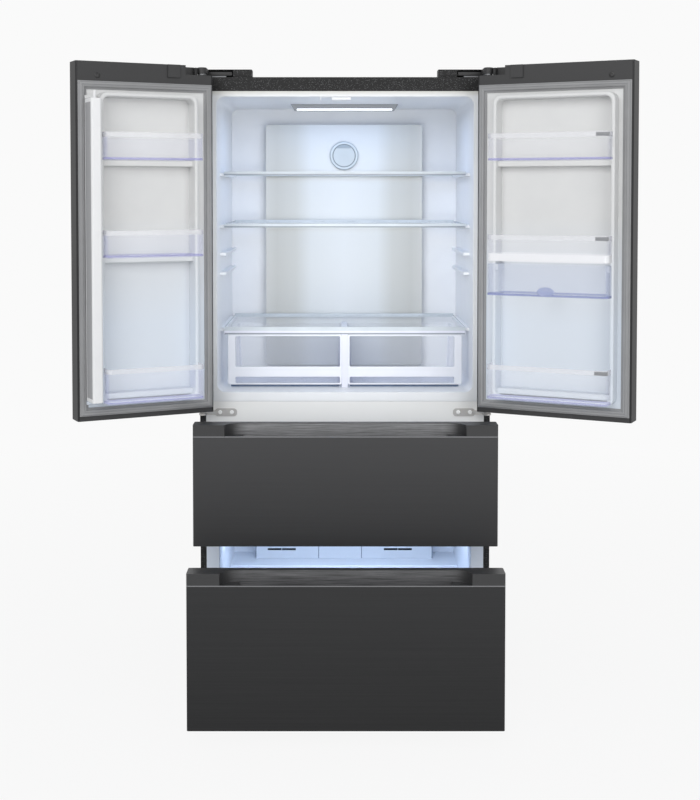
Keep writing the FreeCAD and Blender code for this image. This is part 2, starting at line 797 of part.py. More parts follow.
def finned_coil(name, corner, size, fins):
    """A row of upright fins on four tubes that run across them."""
    x, y, z = corner
    wide, deep, tall = size
    pieces = []
    for number in range(fins):
        across = f"{x} + {number}*({wide} - fin_thickness)/{fins - 1}"
        pieces.append(block(f"{name}_fin", ("fin_thickness", deep, tall), (across, y, z)))
    for depth in TUBE_DEPTHS:
        for level in TUBE_LEVELS:
            start = (x, f"{y} + {depth}*{deep}", f"{z} + {level}*{tall}")
            pieces.append(rod(f"{name}_tube", "tube_radius", wide, start, "x"))
    return join(name, pieces)


def make_cold_air():
    """Evaporator, its fan and cover, and the fridge's air column with its round filter cap."""
    corner = ("-evaporator_width/2", "freezer_depth - evaporator_depth", "evaporator_bottom")
    size = ("evaporator_width", "evaporator_depth", "evaporator_height")
    settle(finned_coil("evaporator", corner, size, EVAPORATOR_FINS), "evaporator")

    body = new_body("freezer_air_duct")
    height = "freezer_duct_top - step_height"
    deep = "freezer_depth - freezer_duct_front"
    corner = ("-freezer_duct_width/2", "freezer_duct_front", "step_height")
    solid(body, "front", corner, ("freezer_duct_width", height), deep)
    inside_x = "freezer_duct_wall - freezer_duct_width/2"
    inside = (inside_x, "freezer_duct_front + freezer_duct_wall", "step_height - sheet")
    inside_size = ("freezer_duct_width - 2*freezer_duct_wall", f"{height} - freezer_duct_wall + sheet")
    hollow(body, "front", inside, inside_size, deep)
    ahead = "freezer_duct_front - sheet"
    through = "freezer_duct_wall + 2*sheet"
    bore(body, "front", ("0", ahead, "fan_level"), "fan_radius + fan_clearance", through)
    for start in ("-vent_left", "vent_right"):
        vent = hollow(
            body, "front", (start, ahead, "step_height + vent_rise"), ("vent_width", "vent_height"), through
        )
        repeat(body, vent, "Z", FREEZER_VENTS, "vent_pitch")
    for start in ("-seam_left - seam_width/2", "seam_right - seam_width/2"):
        seam = (start, ahead, "step_height - sheet")
        hollow(body, "front", seam, ("seam_width", f"{height} + 2*sheet"), "seam_depth + sheet")
    back = "freezer_depth"
    motor_face = ("0", f"{back} - motor_length", "fan_level")
    motor = rod("fan_motor", "motor_radius", "motor_length", motor_face, "y")
    socket = rod("fan_socket", "fan_shaft_radius + fit_clearance", "motor_length/2", motor_face, "y")
    stay_size = ("freezer_duct_width - 2*freezer_duct_wall", "freezer_duct_wall", "motor_radius")
    stay = block(
        "fan_stay", stay_size, (inside_x, f"{back} - freezer_duct_wall", "fan_level - motor_radius/2")
    )
    settle(
        cut("freezer_air_duct_shape", join("duct_motor", [body, motor, stay]), [socket]), "freezer_air_duct"
    )

    pieces = [rod("fan_hub", "fan_hub_radius", "fan_hub_length", ("0", "-fan_hub_length/2", "0"), "y")]
    shaft_length = "fan_hub_length + motor_length/2 - fin_thickness"
    pieces.append(rod("fan_shaft", "fan_shaft_radius", shaft_length, ("0", "0", "0"), "y"))
    pitch = FreeCAD.Rotation(FreeCAD.Vector(1, 0, 0), sheet.fan_pitch_angle)
    offset = FreeCAD.Vector(0, -sheet.fan_blade_width / 2, -sheet.fan_blade_thickness / 2)
    for number in range(FAN_BLADES):
        blade = document.addObject("Part::Box", "fan_blade")
        bind(blade, "Length", "fan_radius")
        bind(blade, "Width", "fan_blade_width")
        bind(blade, "Height", "fan_blade_thickness")
        turn = FreeCAD.Rotation(FreeCAD.Vector(0, 1, 0), number * 360 / FAN_BLADES).multiply(pitch)
        blade.Placement = FreeCAD.Placement(turn.multVec(offset), turn)
        pieces.append(blade)
    fan = join("evaporator_fan", pieces)
    fan.Label = "evaporator_fan"
    seat(fan, ("cabinet_shift", f"{FRONT_SHIFT} + {back} - motor_length - fan_hub_length", "fan_level"))
    nodes["evaporator_fan"] = fan

    body = new_body("fridge_air_duct")
    size = ("duct_width", "duct_top - duct_bottom")
    solid(
        body,
        "front",
        ("-duct_width/2", "duct_front", "duct_bottom"),
        size,
        "fridge_depth - duct_front",
        "duct_radius",
    )
    inside = ("duct_wall - duct_width/2", "duct_front + duct_wall", "duct_bottom + duct_wall")
    inside_size = ("duct_width - 2*duct_wall", "duct_top - duct_bottom - 2*duct_wall")
    hollow(body, "front", inside, inside_size, "fridge_depth - duct_front", "duct_radius - duct_wall")
    boss = ("-cap_boss/2", "duct_front", "cap_level - cap_boss/2")
    solid(body, "front", boss, ("cap_boss", "cap_boss"), "cap_stem_length + duct_wall", "cap_boss_radius")
    for start in ("-duct_width/2 - sheet", "duct_width/2 - duct_wall - sheet"):
        outlet = (start, "duct_front + duct_outlet_setback", "duct_outlet_level")
        outlet_size = ("duct_outlet_depth", "duct_outlet_height")
        slot = hollow(body, "side", outlet, outlet_size, "duct_wall + 2*sheet", "duct_outlet_radius")
        repeat(body, slot, "Z", DUCT_OUTLETS, "duct_outlet_pitch")
    mouth = ("0", "duct_front - sheet", "cap_level")
    bore(body, "front", mouth, "cap_stem_radius + fit_clearance", "cap_stem_length + 2*sheet")
    settle(body, "fridge_air_duct")

    cap_face = ("0", "duct_front - slide_clearance - cap_thickness", "cap_level")
    disc = rod("cap_disc", "cap_radius", "cap_thickness", cap_face, "y")
    cap_front = sheet.duct_front - sheet.slide_clearance - sheet.cap_thickness
    disc = round_edges("cap_soft", disc, "cap_edge", lambda edge: edge.BoundBox.YMax < cap_front + TOUCH)
    dish = rod("cap_dish", "cap_radius - cap_ring", "cap_recess", cap_face, "y")
    stem_length = "cap_stem_length + slide_clearance + cap_thickness/2"
    stem_start = ("0", "duct_front - slide_clearance - cap_thickness/2", "cap_level")
    stem = rod("cap_stem", "cap_stem_radius", stem_length, stem_start, "y")
    settle(cut("filter_cap_shape", join("cap_body", [disc, stem]), [dish]), "filter_cap")


def make_interior():
    """Ceiling lamp, glass shelves with their trims, and the frame between the crispers."""
    body = new_body("ceiling_lamp")
    lens = ("lamp_draft - lamp_width/2", "lamp_front", "fridge_ceiling - lamp_height")
    foot = ("-lamp_width/2", "lamp_front", "fridge_ceiling")
    lens_size = ("lamp_width - 2*lamp_draft", "lamp_depth")
    taper(
        body, "Additive", "floor", (lens, lens_size), (foot, ("lamp_width", "lamp_depth")), "front_radius"
    )
    settle(body, "ceiling_lamp")

    guide_size = ("guide_width", "guide_depth", "guide_height")
    guide = block("guide_block", guide_size, ("guide_left", "guide_front", "fridge_ceiling - guide_height"))
    bottom = "fridge_ceiling - guide_height - sheet"
    groove_x = "guide_left + guide_wall"
    way_size = ("groove_width", "guide_depth + 2*sheet", "groove_depth + sheet")
    way_in = block("guide_way_in", way_size, (groove_x, "guide_front - sheet", bottom))
    run_depth = "(groove_width/2 + guide_pin_radius)"
    run_size = ("guide_width - groove_width/2", run_depth, "groove_depth + sheet")
    run = block("guide_run", run_size, (groove_x, f"{PIVOT_Y} + guide_pin_depth - {run_depth}/2", bottom))
    settle(cut("mullion_guide", guide, [way_in, run]), "mullion_guide")

    panes = []
    trims = []
    for level in ("upper_shelf_level", "middle_shelf_level", "cover_level"):
        glass_front = "shelf_front + shelf_trim_depth"
        x = f"-{SHELF_WIDTH}/2"
        pane_size = (SHELF_WIDTH, f"shelf_back - shelf_trim_depth - ({glass_front})", "glass_thickness")
        panes.append(block("pane", pane_size, (x, glass_front, f"{level} - glass_thickness")))
        trim_size = (SHELF_WIDTH, "shelf_trim_depth", "shelf_trim_height")
        trims.append(block("front_trim", trim_size, (x, "shelf_front", f"{level} - shelf_trim_height")))
        back_corner = (x, "shelf_back - shelf_trim_depth", f"{level} - shelf_trim_height + glass_thickness")
        trims.append(block("back_trim", trim_size, back_corner))
    settle(join("shelf_glass", panes), "shelf_glass")
    settle(join("shelf_trims", trims), "shelf_trims")

    band_bottom = "(cover_level - shelf_trim_height - crisper_band)"
    band_size = (SHELF_WIDTH, "shelf_trim_depth", "crisper_band")
    band = block("crisper_band_bar", band_size, (f"-{SHELF_WIDTH}/2", "shelf_front", band_bottom))
    post_size = ("crisper_post", "crisper_back - shelf_front", f"{band_bottom} - fridge_floor")
    post = block("crisper_post_wall", post_size, ("-crisper_post/2", "shelf_front", "fridge_floor"))
    settle(join("crisper_frame", [band, post]), "crisper_frame")


def make_crisper(side):
    """One vegetable drawer: a clear tub behind a white front with two windows."""
    near = "(crisper_post/2 + slide_clearance)"
    x = near if side == "right" else f"(-{near} - {CRISPER_WIDTH})"
    name = f"crisper_tub_{side}"
    body = new_body(name)
    back_of_front = "shelf_front + crisper_front_depth"
    corner = (x, back_of_front, "fridge_floor + slide_clearance")
    size = (CRISPER_WIDTH, f"crisper_back - ({back_of_front})")
    height = "crisper_top - fridge_floor - 2*slide_clearance - crisper_top_rail"
    tub(body, corner, size, height, "crisper_wall", "tub_draft", "tub_radius")
    settle(body, name)

    name = f"crisper_front_{side}"
    body = new_body(name)
    height = "crisper_top - slide_clearance - crisper_bottom"
    face = (x, "shelf_front", "crisper_bottom")
    solid(body, "front", face, (CRISPER_WIDTH, height), "crisper_front_depth", "front_radius")
    outer, inner = "crisper_outer_upright", "crisper_inner_upright"
    left = inner if side == "right" else outer
    through = "crisper_front_depth + 2*sheet"
    window_width = f"{CRISPER_WIDTH} - {outer} - {inner}"
    window = (f"{x} + {left}", "shelf_front - sheet", "crisper_grip_top")
    window_size = (window_width, "crisper_top - crisper_top_rail - crisper_grip_top")
    hollow(body, "front", window, window_size, through, "crisper_trim")
    slot = (f"{x} + {left}", "shelf_front - sheet", "crisper_bottom + crisper_trim")
    slot_height = "crisper_grip_bottom - crisper_bottom - crisper_trim"
    hollow(body, "front", slot, (window_width, slot_height), through, "crisper_trim")
    settle(body, name)


def fill_front(body, x, width, z, height, face_inset):
    """Foam-filled core of a door or drawer front, with its face standing through the folded return."""
    core = (f"{x} + sheet", f"{FRONT_FACE} + sheet", z)
    core_size = (f"{width} - 2*sheet", "front_thickness - 2*sheet")
    solid(body, "floor", core, core_size, height, "front_radius - sheet")
    face = (f"{x} + gasket_inset", f"{INNER_FACE} - sheet", f"{z} + {face_inset[0]}")
    face_size = (f"{width} - 2*gasket_inset", f"{height} - {face_inset[0]} - {face_inset[1]}")
    solid(body, "front", face, face_size, "sheet")


def make_door(side):
    """One fridge door: folded steel skin, end caps, moulded liner with a raised dyke, and its seal."""
    frame = f"{side}_door"
    width = f"{side}_door_width"
    left = side == "left"
    x = f"(-{HALF})" if left else RIGHT_FREE
    hinge_edge = f"(-{HALF})" if left else HALF
    dyke_x = f"({x} + hinge_margin)" if left else f"({x} + free_margin)"
    dyke_width = f"({width} - hinge_margin - {'flap_margin' if left else 'free_margin'})"
    axis = (f"-{HINGE_X}" if left else HINGE_X, HINGE_Y)

    def notch(body):
        height = "door_top - notch_floor + sheet"
        start = f"{hinge_edge} - sheet" if left else f"{hinge_edge} - notch_open"
        corner = (start, f"{FRONT_FACE} - sheet", "notch_floor")
        hollow(body, "floor", corner, ("notch_open + sheet", "front_thickness + 2*sheet"), height)
        start = hinge_edge if left else f"{hinge_edge} - notch_width"
        corner = (start, f"{FRONT_FACE} + notch_wall", "notch_floor")
        hollow(body, "floor", corner, ("notch_width", "front_thickness"), height)

    body = new_body(f"{side}_door_skin")
    height = "door_top - door_bottom - 2*cap_lip"
    bottom = "door_bottom + cap_lip"
    solid(body, "floor", (x, FRONT_FACE, bottom), (width, "front_thickness"), height, "front_radius")
    cavity = (f"{x} + sheet", f"{FRONT_FACE} + sheet", f"{bottom} - sheet")
    cavity_size = (f"{width} - 2*sheet", "front_thickness - 2*sheet")
    hollow(body, "floor", cavity, cavity_size, f"{height} + 2*sheet", "front_radius - sheet")
    mouth = (f"{x} + gasket_inset", f"{INNER_FACE} - 2*sheet", f"{bottom} - sheet")
    hollow(body, "floor", mouth, (f"{width} - 2*gasket_inset", "4*sheet"), f"{height} + 2*sheet")
    notch(body)
    settle(body, f"{side}_door_skin", frame)

    top = new_body(f"{side}_top_cap")
    fill_front(top, x, width, "(door_top - top_cap)", "(top_cap - cap_lip)", ("0", "0"))
    solid(
        top,
        "floor",
        (x, FRONT_FACE, "door_top - cap_lip"),
        (width, "front_thickness"),
        "cap_lip",
        "front_radius",
    )
    notch(top)
    stop_x = f"{hinge_edge} + stop_reach" if left else f"{hinge_edge} - stop_reach - stop_size"
    stop = (stop_x, f"{INNER_FACE} - sheet", "door_top - stop_size")
    solid(top, "front", stop, ("stop_size", "stop_size"), "stop_proud + sheet")
    pin_hole = "hinge_pin_radius + fit_clearance"
    bore(top, "floor", (*axis, "notch_floor - top_pin_length"), pin_hole, "top_pin_length + sheet")
    low = new_body(f"{side}_bottom_cap")
    fill_front(low, x, width, "(door_bottom + cap_lip)", "(bottom_cap - cap_lip)", ("0", "0"))
    solid(
        low, "floor", (x, FRONT_FACE, "door_bottom"), (width, "front_thickness"), "cap_lip", "front_radius"
    )
    bore(low, "floor", (*axis, "door_bottom - sheet"), pin_hole, "bottom_cap - cap_lip + sheet")
    settle(join(f"{side}_door_caps", [top, low]), f"{side}_door_caps", frame)

    body = new_body(f"{side}_liner_form")
    core_bottom = "(door_bottom + bottom_cap)"
    core_height = "(door_top - top_cap - door_bottom - bottom_cap)"
    fill_front(body, x, width, core_bottom, core_height, ("0", "0"))
    dyke_size = (dyke_width, "dyke_top - dyke_bottom")
    solid(body, "front", (dyke_x, INNER_FACE, "dyke_bottom"), dyke_size, "dyke_proud", "dyke_radius")
    recess = (f"{dyke_x} + dyke_wall", DYKE_FLOOR, "dyke_bottom + dyke_wall")
    recess_size = (f"{dyke_width} - 2*dyke_wall", "dyke_top - dyke_bottom - 2*dyke_wall")
    hollow(body, "front", recess, recess_size, "dyke_proud + 2*dyke_recess", "dyke_radius - dyke_wall/2")
    rim = sheet.dyke_proud - sheet.gasket_gap

    def on_rim(edge):
        box = edge.BoundBox
        return abs(box.YMin - rim) < TOUCH and abs(box.YMax - rim) < TOUCH

    soften(body, "dyke_edge", on_rim)
    floors = ["upper_bin_floor", "(lower_bin_floor + lower_bin_lift)"]
    if left:
        floors.append("left_middle_bin_floor")
    for floor in floors:
        ledge = (f"{dyke_x} + dyke_wall", DYKE_FLOOR, f"{floor} - ledge_height")
        solid(body, "front", ledge, (f"{dyke_width} - 2*dyke_wall", "ledge_height"), "ledge_depth")
    if left:
        solid_lugs(body)
    else:
        runner = f"{DYKE_TIP} - {DYKE_FLOOR} - bin_clearance"
        runner_top = "snack_bottom + snack_height - snack_flange_height - slide_clearance"
        for start in (f"{dyke_x} + dyke_wall", f"{dyke_x} + {dyke_width} - dyke_wall - snack_flange"):
            rest = (start, DYKE_FLOOR, f"{runner_top} - ledge_height")
            solid(body, "front", rest, ("snack_flange", "ledge_height"), runner)
            bin_seat = (start, DYKE_FLOOR, "right_middle_bin_floor - snack_flange_height")
            solid(body, "front", bin_seat, ("snack_flange", "snack_flange_height"), runner)
    settle(body, f"{side}_door_liner", frame)

    body = new_body(f"{side}_door_gasket")
    seal_bottom = "(door_bottom + bottom_cap)"
    seal = (f"{x} + gasket_inset", INNER_FACE, seal_bottom)
    seal_size = (f"({width} - 2*gasket_inset)", "(door_top - top_cap - door_bottom - bottom_cap)")
    frame_ring(
        body, "front", seal, seal_size, "gasket_width", "gasket_gap - gasket_clearance", "front_radius"
    )
    settle(body, f"{side}_door_gasket", frame)
    return dyke_x, dyke_width


def solid_lugs(body):
    """Two hinge lugs on the left door that hold the flap's pins above and below it."""
    for level in ("flap_top + lug_gap", "flap_bottom - lug_gap - lug_height"):
        post_width = "(flap_margin - gasket_inset - gasket_width - 2*bin_side_gap)"
        post = (f"{LEFT_FREE} - flap_margin + bin_side_gap", INNER_FACE, level)
        solid(body, "front", post, (post_width, "lug_height"), "gasket_gap + 2*flap_pivot_radius")
        arm_start = f"({LEFT_FREE} - flap_margin + bin_side_gap)"
        arm_length = f"{PIVOT_X} + flap_pivot_radius - {arm_start}"
        solid(body, "front", (arm_start, "0", level), (arm_length, "lug_height"), "2*flap_pivot_radius")
        eye = (PIVOT_X, PIVOT_Y, f"{level} - sheet")
        bore(body, "floor", eye, "flap_pin_radius + fit_clearance", "lug_height + 2*sheet")


def make_bin(name, frame, dyke, floor, height, base="0", lift="0"):
    """A door bin that sits inside the dyke and widens in front of it."""
    dyke_x, dyke_width = dyke
    body = new_body(name)
    back_x = f"({dyke_x} + dyke_wall + bin_clearance)"
    back_width = f"({dyke_width} - 2*dyke_wall - 2*bin_clearance)"
    wide_x = f"({dyke_x} + bin_side_gap)"
    wide = f"({dyke_width} - 2*bin_side_gap)"
    step = f"({DYKE_TIP} + bin_clearance)"
    back = f"({DYKE_FLOOR} + bin_clearance)"
    solid(body, "floor", (wide_x, step, floor), (wide, f"bin_front - {step}"), height, "bin_radius")
    back_size = (back_width, f"{step} - {back} + bin_radius")
    solid(body, "floor", (back_x, back, f"{floor} + {lift}"), back_size, f"{height} - {lift}")
    inner_floor = f"{floor} + bin_wall + {base}"
    inner_height = f"{height} - {base}"
    inner = (f"{wide_x} + bin_wall", f"{step} + bin_wall", inner_floor)
    inner_size = (f"{wide} - 2*bin_wall", f"bin_front - {step} - 2*bin_wall")
    hollow(body, "floor", inner, inner_size, inner_height, "bin_radius - bin_wall")
    inner = (f"{back_x} + bin_wall", f"{back} + bin_wall", f"{inner_floor} + {lift}")
    inner_size = (f"{back_width} - 2*bin_wall", f"{step} - {back} + bin_radius - bin_wall")
    hollow(body, "floor", inner, inner_size, inner_height)
    settle(body, name, frame)


def make_bin_rails(side, dyke, tops):
    """Tinted rails round the front of the bins, on top of their rims."""
    dyke_x, dyke_width = dyke
    pieces = []
    step = f"({DYKE_TIP} + bin_clearance)"
    x = f"({dyke_x} + bin_side_gap)"
    wide = f"({dyke_width} - 2*bin_side_gap)"
    for number, top in enumerate(tops):
        body = new_body(f"{side}_rail_{'abc'[number]}")
        solid(body, "floor", (x, step, top), (wide, f"bin_front - {step}"), "bin_rail_height", "bin_radius")
        inner = (f"{x} + bin_rail_wall", f"{step} - bin_radius", f"{top} - sheet")
        inner_size = (f"{wide} - 2*bin_rail_wall", f"bin_front - {step} + bin_radius - bin_rail_wall")
        hollow(body, "floor", inner, inner_size, "bin_rail_height + 2*sheet", "bin_radius - bin_rail_wall")
        pieces.append(body)
    settle(join(f"{side}_bin_rails", pieces), f"{side}_bin_rails", f"{side}_door")


def make_snack_drawer(dyke):
    """Shallow clear drawer that slides out from under the right door's middle bin."""
    dyke_x, dyke_width = dyke
    body = new_body("snack_drawer")
    inset = "(dyke_wall + snack_flange + bin_clearance)"
    back_x = f"({dyke_x} + {inset})"
    back_width = f"({dyke_width} - 2*{inset})"
    wide_x = f"({dyke_x} + bin_side_gap)"
    wide = f"({dyke_width} - 2*bin_side_gap)"
    step = f"({DYKE_TIP} + bin_clearance)"
    back = f"({DYKE_FLOOR} + bin_clearance)"
    floor = "snack_bottom"
    solid(body, "floor", (wide_x, step, floor), (wide, f"bin_front - {step}"), "snack_height", "bin_radius")
    solid(
        body, "floor", (back_x, back, floor), (back_width, f"{step} - {back} + bin_radius"), "snack_height"
    )
    flange_x = f"({dyke_x} + dyke_wall + bin_clearance)"
    flange_width = f"({dyke_width} - 2*dyke_wall - 2*bin_clearance)"
    level = "snack_bottom + snack_height - snack_flange_height"
    flange_size = (flange_width, f"{step} - {back} + bin_wall")
    solid(body, "floor", (flange_x, back, level), flange_size, "snack_flange_height")
    inner = (f"{wide_x} + bin_wall", f"{step} + bin_wall", f"{floor} + bin_wall")
    inner_size = (f"{wide} - 2*bin_wall", f"bin_front - {step} - 2*bin_wall")
    hollow(body, "floor", inner, inner_size, "snack_height", "bin_radius - bin_wall")
    inner = (f"{back_x} + bin_wall", f"{back} + bin_wall", f"{floor} + bin_wall")
    inner_size = (f"{back_width} - 2*bin_wall", f"{step} - {back} + bin_radius - bin_wall")
    hollow(body, "floor", inner, inner_size, "snack_height")
    settle(body, "snack_drawer", "right_door")


def make_flap():
    """Folding mullion flap: a deep closed strip with round pivot end, pins and a guide pin."""
    tall = "flap_top - flap_bottom"
    reach = "flap_width - flap_pivot_radius"
    start = (PIVOT_X, "0", "flap_bottom")
    strip = block("flap_strip", (reach, "flap_thickness", tall), start)

    def far_edges(edge):
        upright = abs(edge.tangentAt(edge.FirstParameter).z) > 0.99
        return upright and edge.CenterOfMass.x > strip.Shape.CenterOfMass.x

    strip = round_edges("flap_rounded", strip, "flap_edge_radius", far_edges)
    knuckle = rod("flap_knuckle", "flap_pivot_radius", tall, (PIVOT_X, PIVOT_Y, "flap_bottom"))
    pin_start = (PIVOT_X, PIVOT_Y, "flap_bottom - lug_gap - flap_pin_length")
    pin = rod("flap_pin", "flap_pin_radius", f"{tall} + 2*(flap_pin_length + lug_gap)", pin_start)
    guide_start = (f"{PIVOT_X} + guide_pin_reach", f"{PIVOT_Y} + guide_pin_depth", "flap_top")
    guide = rod("flap_guide_pin", "guide_pin_radius", "guide_pin_height", guide_start)
    settle(join("mullion_flap", [strip, knuckle, pin, guide]), "mullion_flap", "mullion_flap")


def make_hinges():
    """Top hinges with their covers on the cabinet, and the lower hinges on the cross rail."""
    brackets = []
    covers = []
    for side in ("left", "right"):
        left = side == "left"
        axis_x = f"(-{HINGE_X})" if left else HINGE_X
        arm_x = f"({axis_x} - hinge_arm_width/2)"
        plate_x = arm_x if left else f"({axis_x} + hinge_arm_width/2 - top_hinge_length)"
        level = "cabinet_top"
        plate_size = ("top_hinge_length", "top_hinge_depth", "hinge_plate")
        plate = block("top_plate", plate_size, (plate_x, "side_return/2", level))
        arm_size = ("hinge_arm_width", f"side_return - {HINGE_Y}", "hinge_plate")
        arm = block("top_arm", arm_size, (arm_x, HINGE_Y, level))
        eye = rod("top_eye", "hinge_arm_width/2", "hinge_plate", (axis_x, HINGE_Y, level))
        pin_bottom = "notch_floor - top_pin_length + sheet"
        pin_length = f"{level} - ({pin_bottom}) + hinge_plate"
        pin = rod("top_pin", "hinge_pin_radius", pin_length, (axis_x, HINGE_Y, pin_bottom))
        brackets.append(join(f"{side}_top_hinge", [plate, arm, eye, pin]))

        low_x = f"(low_hinge_left - {HALF})" if left else f"({HALF} - low_hinge_left - low_hinge_length)"
        low = new_body(f"{side}_low_plate")
        low_size = ("low_hinge_length", "low_hinge_height")
        low_corner = (low_x, "-hinge_plate/2", "low_hinge_bottom")
        solid(low, "front", low_corner, low_size, "hinge_plate/2", "low_hinge_radius")
        arm_x = arm_x if left else f"({HALF} - low_hinge_left - low_arm_lap)"
        arm_width = "(hinge_arm_width/2 + low_hinge_left - hinge_inset + low_arm_lap)"
        arm = block(
            "low_arm", (arm_width, f"-({HINGE_Y})", "hinge_plate"), (arm_x, HINGE_Y, "low_arm_level")
        )
        eye = rod("low_eye", "hinge_arm_width/2", "hinge_plate", (axis_x, HINGE_Y, "low_arm_level"))
        pin = rod("low_pin", "hinge_pin_radius", "low_pin_length", (axis_x, HINGE_Y, "low_arm_level"))
        brackets.append(join(f"{side}_low_hinge", [low, arm, eye, pin]))

        cover = new_body(f"{side}_hinge_cover")
        cover_x = f"(-{HALF})" if left else f"({HALF} - hinge_cover_length)"
        height = "door_top - cabinet_top"
        size = ("hinge_cover_length", "hinge_cover_depth")
        solid(cover, "floor", (cover_x, "hinge_cover_wall", level), size, height, "front_radius")
        inner = (f"{cover_x} + hinge_cover_wall", "0", f"{level} - sheet")
        inner_size = ("hinge_cover_length - 2*hinge_cover_wall", "hinge_cover_depth")
        hollow(cover, "floor", inner, inner_size, f"{height} - hinge_cover_wall + sheet")
        covers.append(cover)
    settle(join("hinge_brackets", brackets), "hinge_brackets")
    settle(join("hinge_covers", covers), "hinge_covers")


def channel(name, side, wall_x, level, height, flange):
    """A folded slide member, open towards the middle of the cabinet."""
    start, length = "slide_front", "slide_length"
    if side == "left":
        web_x, back_x = wall_x, f"({wall_x} + slide_sheet)"
    else:
        web_x, back_x = f"({wall_x} - slide_sheet)", f"({wall_x} - {flange})"
    web = block(f"{name}_web", ("slide_sheet", length, height), (web_x, start, level))
    lip_size = (f"{flange} - slide_sheet", length, "slide_sheet")
    low = block(f"{name}_low", lip_size, (back_x, start, level))
    top = block(f"{name}_top", lip_size, (back_x, start, f"{level} + {height} - slide_sheet"))
    return join(name, [web, low, top])


def make_slides():
    """Three-member telescopic slides: cabinet rails, middle members and the drawers' runners."""
    rails = []
    step = "(slide_sheet + slide_gap)"
    for drawer in ("upper", "lower"):
        level = f"{drawer}_slide_level"
        middles = []
        runners = []
        for side in ("left", "right"):
            sign = -1 if side == "left" else 1
            wall = f"({sign}*freezer_width/2)"
            rails.append(
                channel(f"{drawer}_{side}_rail", side, wall, level, "slide_height", "slide_flange")
            )
            middle_wall = f"({wall} - {sign}*{step})"
            middle_height = f"(slide_height - 2*{step})"
            flange = f"(slide_flange - {step})"
            middle_name = f"{drawer}_{side}_middle"
            middles.append(
                channel(middle_name, side, middle_wall, f"{level} + {step}", middle_height, flange)
            )
            outer = f"(freezer_width/2 - 2*{step})"
            bar_x = f"(-{outer})" if sign < 0 else f"({outer} - runner_bar)"
            bar_size = (
                "runner_bar", f"slide_front + slide_length - {INNER_FACE}", f"slide_height - 4*{step}"
            )
            bar = block(f"{drawer}_{side}_bar", bar_size, (bar_x, INNER_FACE, f"{level} + 2*{step}"))
            inner = "(freezer_width/2 - slide_flange - carrier_wall)"
            neck_width = f"({outer} - runner_bar - {inner} + carrier_wall)"
            neck_x = f"(-{outer} + runner_bar)" if sign < 0 else f"({inner} - carrier_wall)"
            neck_size = (neck_width, "slide_length", "slide_height/3")
            neck = block(
                f"{drawer}_{side}_neck", neck_size, (neck_x, "slide_front", f"{level} + slide_height/3")
            )
            web_x = f"(-{inner})" if sign < 0 else f"({inner} - carrier_wall)"
            web_size = ("carrier_wall", "slide_length", "carrier_drop + 2*slide_height/3")
            web = block(f"{drawer}_{side}_web", web_size, (web_x, "slide_front", f"{level} - carrier_drop"))
            ledge_x = f"(-{inner})" if sign < 0 else f"({inner} - carrier_ledge)"
            ledge_size = ("carrier_ledge", "slide_length", "carrier_wall")
            ledge = block(
                f"{drawer}_{side}_ledge", ledge_size, (ledge_x, "slide_front", f"{level} - carrier_drop")
            )
            runners.append(join(f"{drawer}_{side}_runner", [bar, neck, web, ledge]))
        settle(join(f"{drawer}_slide_members", middles), f"{drawer}_slide_members", f"{drawer}_slides")
        settle(join(f"{drawer}_drawer_runners", runners), f"{drawer}_drawer_runners", f"{drawer}_drawer")
    settle(join("freezer_rails", rails), "freezer_rails")


